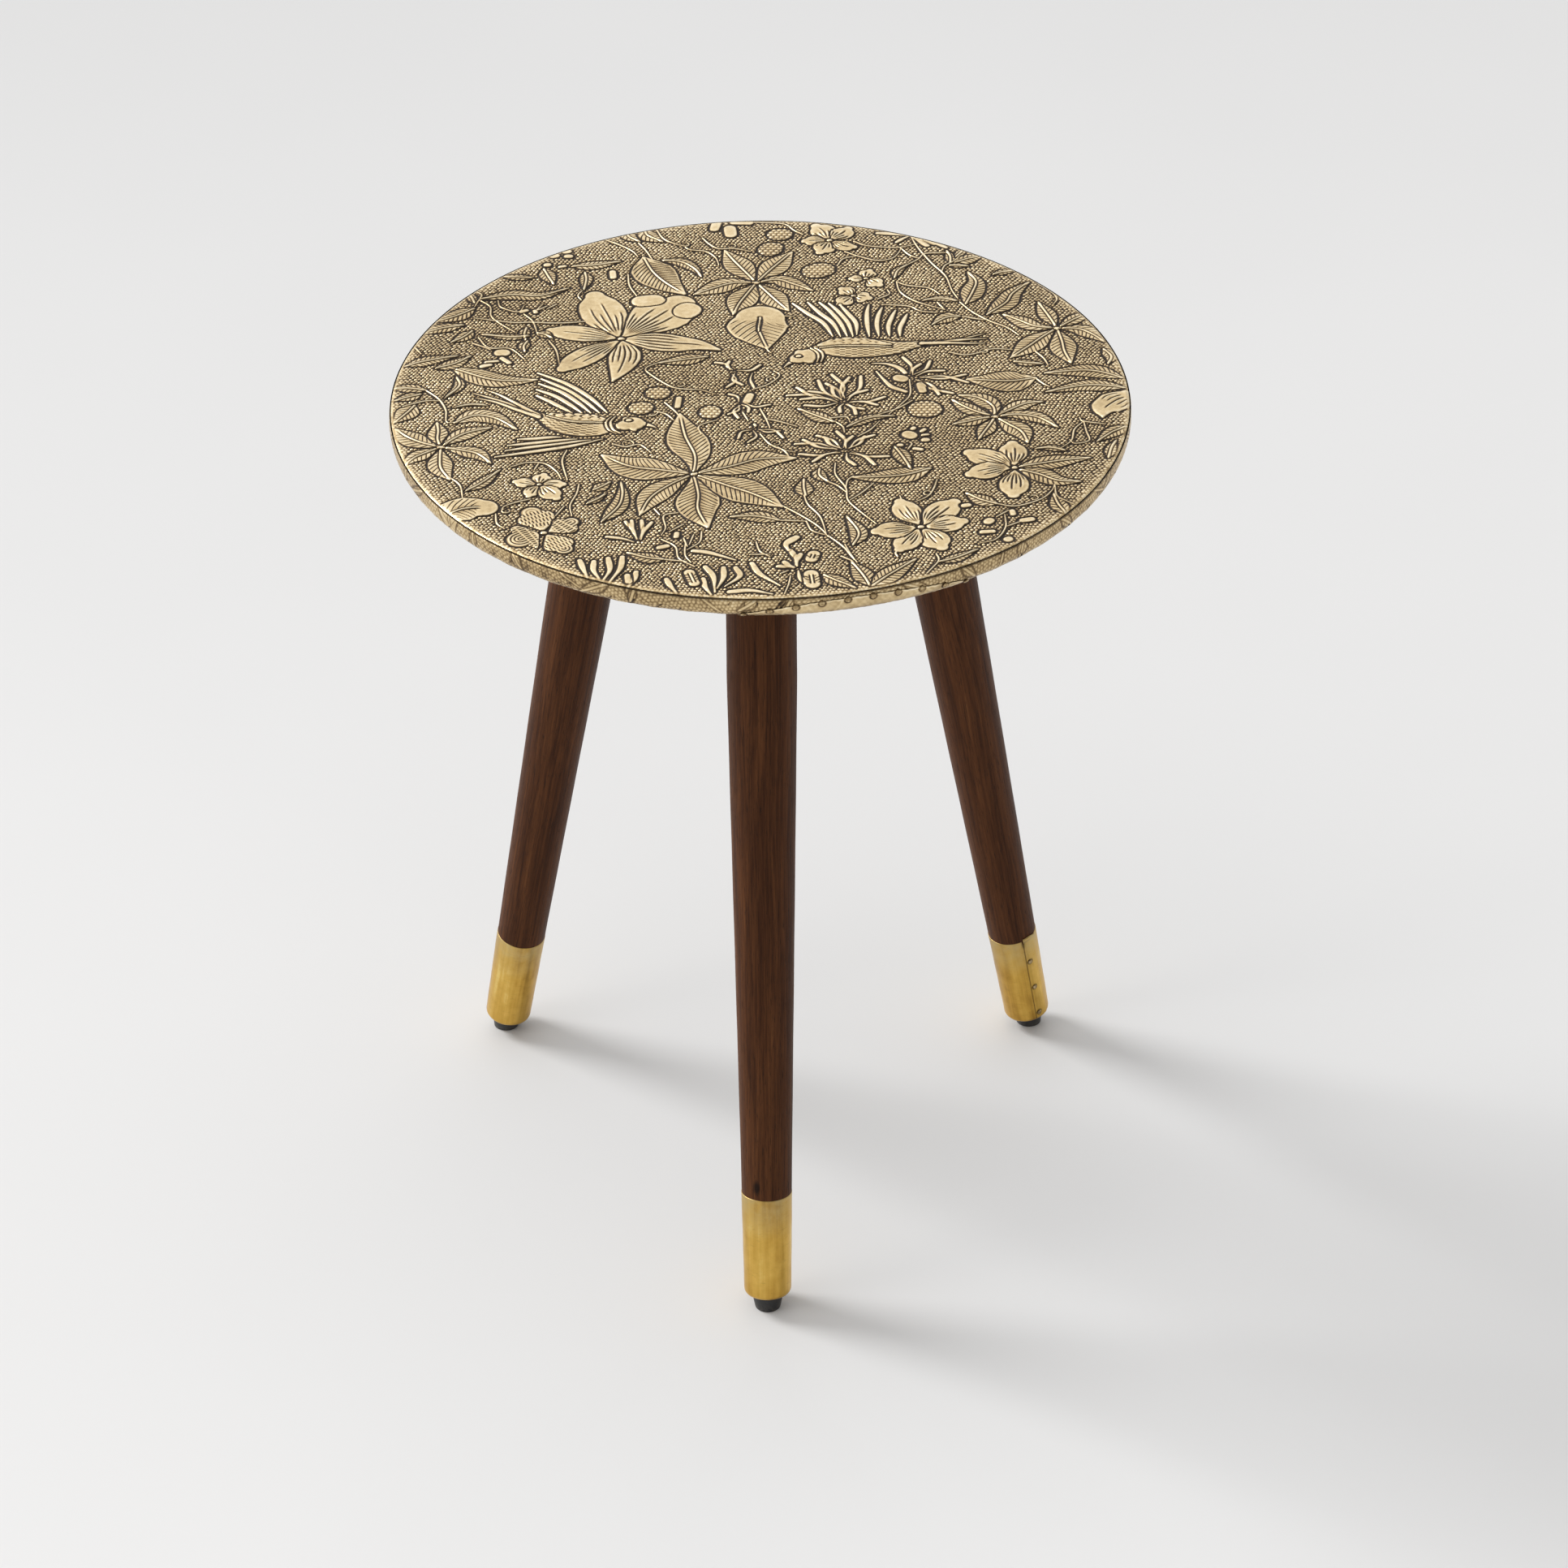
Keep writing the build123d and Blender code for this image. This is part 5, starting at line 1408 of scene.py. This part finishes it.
def walnut():
    """Dark stained wood: long streaks of two widths, fine pores and a satin coat, with one small knot."""
    look = Look("walnut stain")
    own = look.attribute("own_place", "Vector")
    wander = look.noise(look.stretched(own, (1.0, 1.0, 0.25)), 22.0, 2.0)
    offset = look.add("ShaderNodeCombineXYZ", {"X": look.spread(wander, 0.0, 1.0, -0.004, 0.004),
                                               "Y": look.spread(wander, 0.0, 1.0, 0.003, -0.003)})
    bent = look.add("ShaderNodeVectorMath", {0: own, 1: offset}, operation="ADD")
    wide = look.noise(look.stretched(bent, (1.0, 1.0, 0.03)), 170.0, 4.0, 0.6)
    fine = look.noise(look.stretched(bent, (1.0, 1.0, 0.022)), 900.0, 4.0, 0.65)
    pores = look.noise(look.stretched(own, (1.0, 1.0, 0.05)), 2600.0, 2.0, 0.5)
    tone = look.math("ADD", look.spread(wide, 0.3, 0.7, 0.2, 0.64), look.spread(fine, 0.3, 0.7, -0.12, 0.3),
                     clamp=True)
    colour = look.ramp(tone, [(0.0, (0.018, 0.006, 0.003)), (0.35, (0.056, 0.019, 0.007)),
                              (0.7, (0.118, 0.043, 0.015)), (1.0, (0.20, 0.082, 0.030))])
    pore = look.spread(pores, 0.58, 0.72)
    colour = look.mix(look.math("MULTIPLY", pore, 0.7), colour, (0.014, 0.008, 0.006))
    away = look.add("ShaderNodeVectorMath", {0: look.stretched(own, (1.0, 1.0, 0.42)),
                                             1: (0.0116, -0.0050, 0.0755 * 0.42)},
                    operation="DISTANCE", out="Value")
    knot = look.math("MULTIPLY", look.spread(away, 0.0012, 0.0024, 1.0, 0.0), look.attribute("marked"))
    colour = look.mix(look.math("MULTIPLY", knot, 0.85), colour, (0.008, 0.005, 0.004))
    rough = look.math("ADD", look.spread(fine, 0.3, 0.7, 0.42, 0.52), look.math("MULTIPLY", pore, 0.15))
    relief = look.math("SUBTRACT", fine, look.math("MULTIPLY", pore, 0.8))
    return look.surface(colour=colour, rough=rough, coat=0.0, coat_rough=0.3, shine=0.08,
                        normal=look.bump(relief, 0.00028, 0.5))


def dark_board():
    """Wood-fibre board with a worn dark stain."""
    look = Look("stained board")
    place = look.place()
    fibre = look.noise(look.stretched(place, (1.0, 0.16, 1.0)), 650.0, 4.0, 0.7)
    cloud = look.noise(place, 14.0, 4.0)
    colour = look.ramp(look.spread(cloud, 0.3, 0.7), [(0.0, (0.018, 0.014, 0.012)),
                                                      (1.0, (0.055, 0.042, 0.034))])
    colour = look.mix(look.spread(fibre, 0.6, 0.75, 0.0, 0.5), colour, (0.12, 0.085, 0.06))
    return look.surface(colour=colour, rough=look.spread(cloud, 0.3, 0.7, 0.6, 0.75),
                        normal=look.bump(fibre, 0.0003, 0.5))


def plated_steel(name, light, dark, streaked):
    """Plated steel with drawing streaks or spangle, and darker stains."""
    look = Look(name)
    place = look.place()
    streak = look.noise(look.stretched(place, streaked), 800.0, 3.0, 0.6)
    stain = look.noise(place, 60.0, 4.0, 0.6)
    tone = look.math("ADD", look.spread(streak, 0.3, 0.7, 0.2, 0.8),
                     look.spread(stain, 0.35, 0.65, -0.3, 0.25), clamp=True)
    colour = look.ramp(tone, [(0.0, dark), (1.0, light)])
    rough = look.spread(stain, 0.3, 0.7, 0.5, 0.32)
    return look.surface(colour=colour, metal=0.92, rough=rough, normal=look.bump(streak, 0.0001, 0.4))


def black_plastic():
    """Moulded black plastic with a fine texture and dust worn on near the floor."""
    look = Look("black plastic")
    place = look.place()
    grain, scuff = look.noise(place, 1500.0, 3.0), look.noise(place, 300.0, 4.0, 0.65)
    height = look.add("ShaderNodeSeparateXYZ", {"Vector": place}, out="Z")
    worn = look.math("MULTIPLY", look.spread(height, 0.0, 0.005, 1.0, 0.1), look.spread(scuff, 0.42, 0.62))
    colour = look.mix(worn, (0.012, 0.012, 0.012), (0.075, 0.068, 0.06))
    return look.surface(colour=colour, rough=look.spread(scuff, 0.3, 0.7, 0.34, 0.55),
                        normal=look.bump(grain, 0.00015, 0.4))


def pale_floor():
    look = Look("pale floor")
    place = look.place()
    cloud = look.noise(place, 1.3, 3.0)
    colour = look.ramp(cloud, [(0.3, (0.80, 0.80, 0.80)), (0.7, (0.83, 0.83, 0.83))])
    # Painted light and shade: the floor's colour is darker towards the key light's side and lighter away from it,
    # a painted gradient standing in for how the room's light falls on a plain floor.
    toward_key = look.add("ShaderNodeVectorMath", {0: place, 1: (-0.7, 0.7, 0.0)}, operation="DOT_PRODUCT",
                          out="Value")
    shade = look.spread(toward_key, -0.6, 1.5, 1.08, 0.77)
    colour = look.mix(1.0, colour, look.add("ShaderNodeCombineXYZ", {"X": shade, "Y": shade, "Z": shade}),
                      "MULTIPLY")
    return look.surface(colour=colour, rough=look.spread(cloud, 0.3, 0.7, 0.7, 0.8), shine=0.2)


def dress(piece, material):
    piece.data.materials.clear()
    piece.data.materials.append(material)


# ---- The pieces, each with its body, its slot and the node it stands for ----


def show(piece, body, material, node=None):
    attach(piece, body)
    if node:
        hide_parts(node)
    dress(piece, material)


def build_table():
    brass, rolled, nails, wood = antique_brass(), sleeve_brass(), nail_brass(), walnut()
    board, plastic = dark_board(), black_plastic()
    zinc = plated_steel("zinc plate", (0.62, 0.62, 0.60), (0.33, 0.33, 0.32), (1.0, 0.04, 1.0))
    steel = plated_steel("steel hardware", (0.50, 0.49, 0.47), (0.16, 0.15, 0.14), (1.0, 1.0, 0.2))

    relief = draw_pattern(relief_cell)
    ground = stipple(relief)
    patina = patina_map(relief, ground)
    sheet = build_sheet(relief, ground, patina, sheet_columns)
    show(sheet, "top", brass, "embossed_brass_sheet")
    show(build_patch(relief), "top", brass, "rim_patch_strip")
    heads = build_round_nails("patch_nail_heads", list(patch_nail_stands()), 1.5, 0.5)
    show(heads, "top", nails, "rim_patch_nails")
    dress(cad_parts["tabletop_core"], board)
    dress(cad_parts["hem_tacks"], steel)
    for name in leg_azimuths:
        body = f"leg_{name}"
        leg = build_wood(name)
        add_value(leg, "marked", np.full(len(leg.data.vertices), float(name == "front")))
        show(leg, body, wood, f"leg_{name}")
        show(build_sleeve(name), body, rolled, f"ferrule_{name}")
        show(build_lap_tongue(name), body, rolled)
        heads = build_round_nails(f"lap_nail_heads_{name}", list(lap_nail_stands(name)), 1.3, 0.75)
        show(settle(heads, leg_matrix(name)), body, nails, f"ferrule_nails_{name}")
        dress(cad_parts[f"foot_glide_{name}"], plastic)
        dress(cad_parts[f"glide_nail_{name}"], steel)
        dress(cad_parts[f"hanger_bolt_{name}"], steel)
        dress(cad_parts[f"leg_plate_{name}"], zinc)
        dress(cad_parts[f"leg_plate_screws_{name}"], steel)


# ---- Floor, lights and camera ----

# A soft studio: a sky that is brighter towards one side, a large key light on that side and a small warm fill
world_colour, bright_side = (1.0, 0.995, 0.99), (-0.62, 0.62, 0.48)
world_dim, world_bright = 0.36, 1.14
key_place, key_size, key_power = (-4.3, 2.1, 3.8), 2.2, 190.0
side_place, side_size, side_power, side_colour = (-2.4, -0.9, 1.2), 1.0, 6.0, (1.0, 0.96, 0.9)
lit_middle = (0.0, 0.0, 0.3)

# The camera: its place in metres, its pan, tilt and roll in degrees, and its lens in millimetres
camera_place = (0.0158, -2.880, 2.161)
camera_pan, camera_tilt, camera_roll = 0.104, 34.0, -0.48
camera_lens, camera_sensor = 149.5, 36.0


def area_light(name, place, target, size, power, colour=(1, 1, 1)):
    lamp = bpy.data.lights.new(name, "AREA")
    lamp.shape, lamp.size, lamp.energy, lamp.color = "DISK", size, power, colour
    piece = bpy.data.objects.new(name, lamp)
    piece.location = place
    piece.rotation_euler = (Vector(target) - Vector(place)).to_track_quat("-Z", "Y").to_euler()
    bpy.context.scene.collection.objects.link(piece)
    return piece


def build_stage():
    reach = 9000.0
    corners = [(-reach, -reach, -0.2), (reach, -reach, -0.2), (reach, reach, -0.2), (-reach, reach, -0.2)]
    floor = new_mesh("floor", np.array(corners), [np.array([[0, 1, 2, 3]])])
    dress(floor, pale_floor())
    floor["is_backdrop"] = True
    world = bpy.data.worlds.new("studio")
    world.use_nodes = True
    tree = world.node_tree
    background = tree.nodes["Background"]
    background.inputs["Color"].default_value = (*world_colour, 1)
    place = tree.nodes.new("ShaderNodeTexCoord")
    facing = tree.nodes.new("ShaderNodeVectorMath")
    facing.operation = "DOT_PRODUCT"
    facing.inputs[1].default_value = bright_side
    level = tree.nodes.new("ShaderNodeMapRange")
    level.interpolation_type = "SMOOTHSTEP"
    for socket, value in zip(level.inputs[1:5], (-0.2, 1.0, world_dim, world_bright)):
        socket.default_value = value
    tree.links.new(place.outputs["Generated"], facing.inputs[0])
    tree.links.new(facing.outputs["Value"], level.inputs["Value"])
    tree.links.new(level.outputs["Result"], background.inputs["Strength"])
    bpy.context.scene.world = world
    area_light("key", key_place, lit_middle, key_size, key_power)
    area_light("side fill", side_place, lit_middle, side_size, side_power, side_colour)


def build_camera():
    camera = bpy.data.cameras.new("camera")
    camera.lens, camera.sensor_width, camera.clip_end = camera_lens, camera_sensor, 50.0
    piece = bpy.data.objects.new("camera", camera)
    pan, tilt, roll = radians(camera_pan), radians(camera_tilt), radians(camera_roll)
    ahead = Vector((-sin(pan) * cos(tilt), cos(pan) * cos(tilt), -sin(tilt)))
    right = ahead.cross(Vector((0, 0, 1))).normalized()
    up = right.cross(ahead)
    right, up = right * cos(roll) + up * sin(roll), up * cos(roll) - right * sin(roll)
    turn = Matrix((right, up, -ahead)).transposed()
    piece.matrix_world = Matrix.Translation(camera_place) @ turn.to_4x4()
    bpy.context.scene.collection.objects.link(piece)
    bpy.context.scene.camera = piece


build_table()
build_stage()
build_camera()
bpy.context.scene.view_settings.view_transform = "Standard"


def plain(box):
    return [[round(float(v), 6) for v in corner] for corner in box]


{"cad": plain(cad_box), "with_visual": plain(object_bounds())}
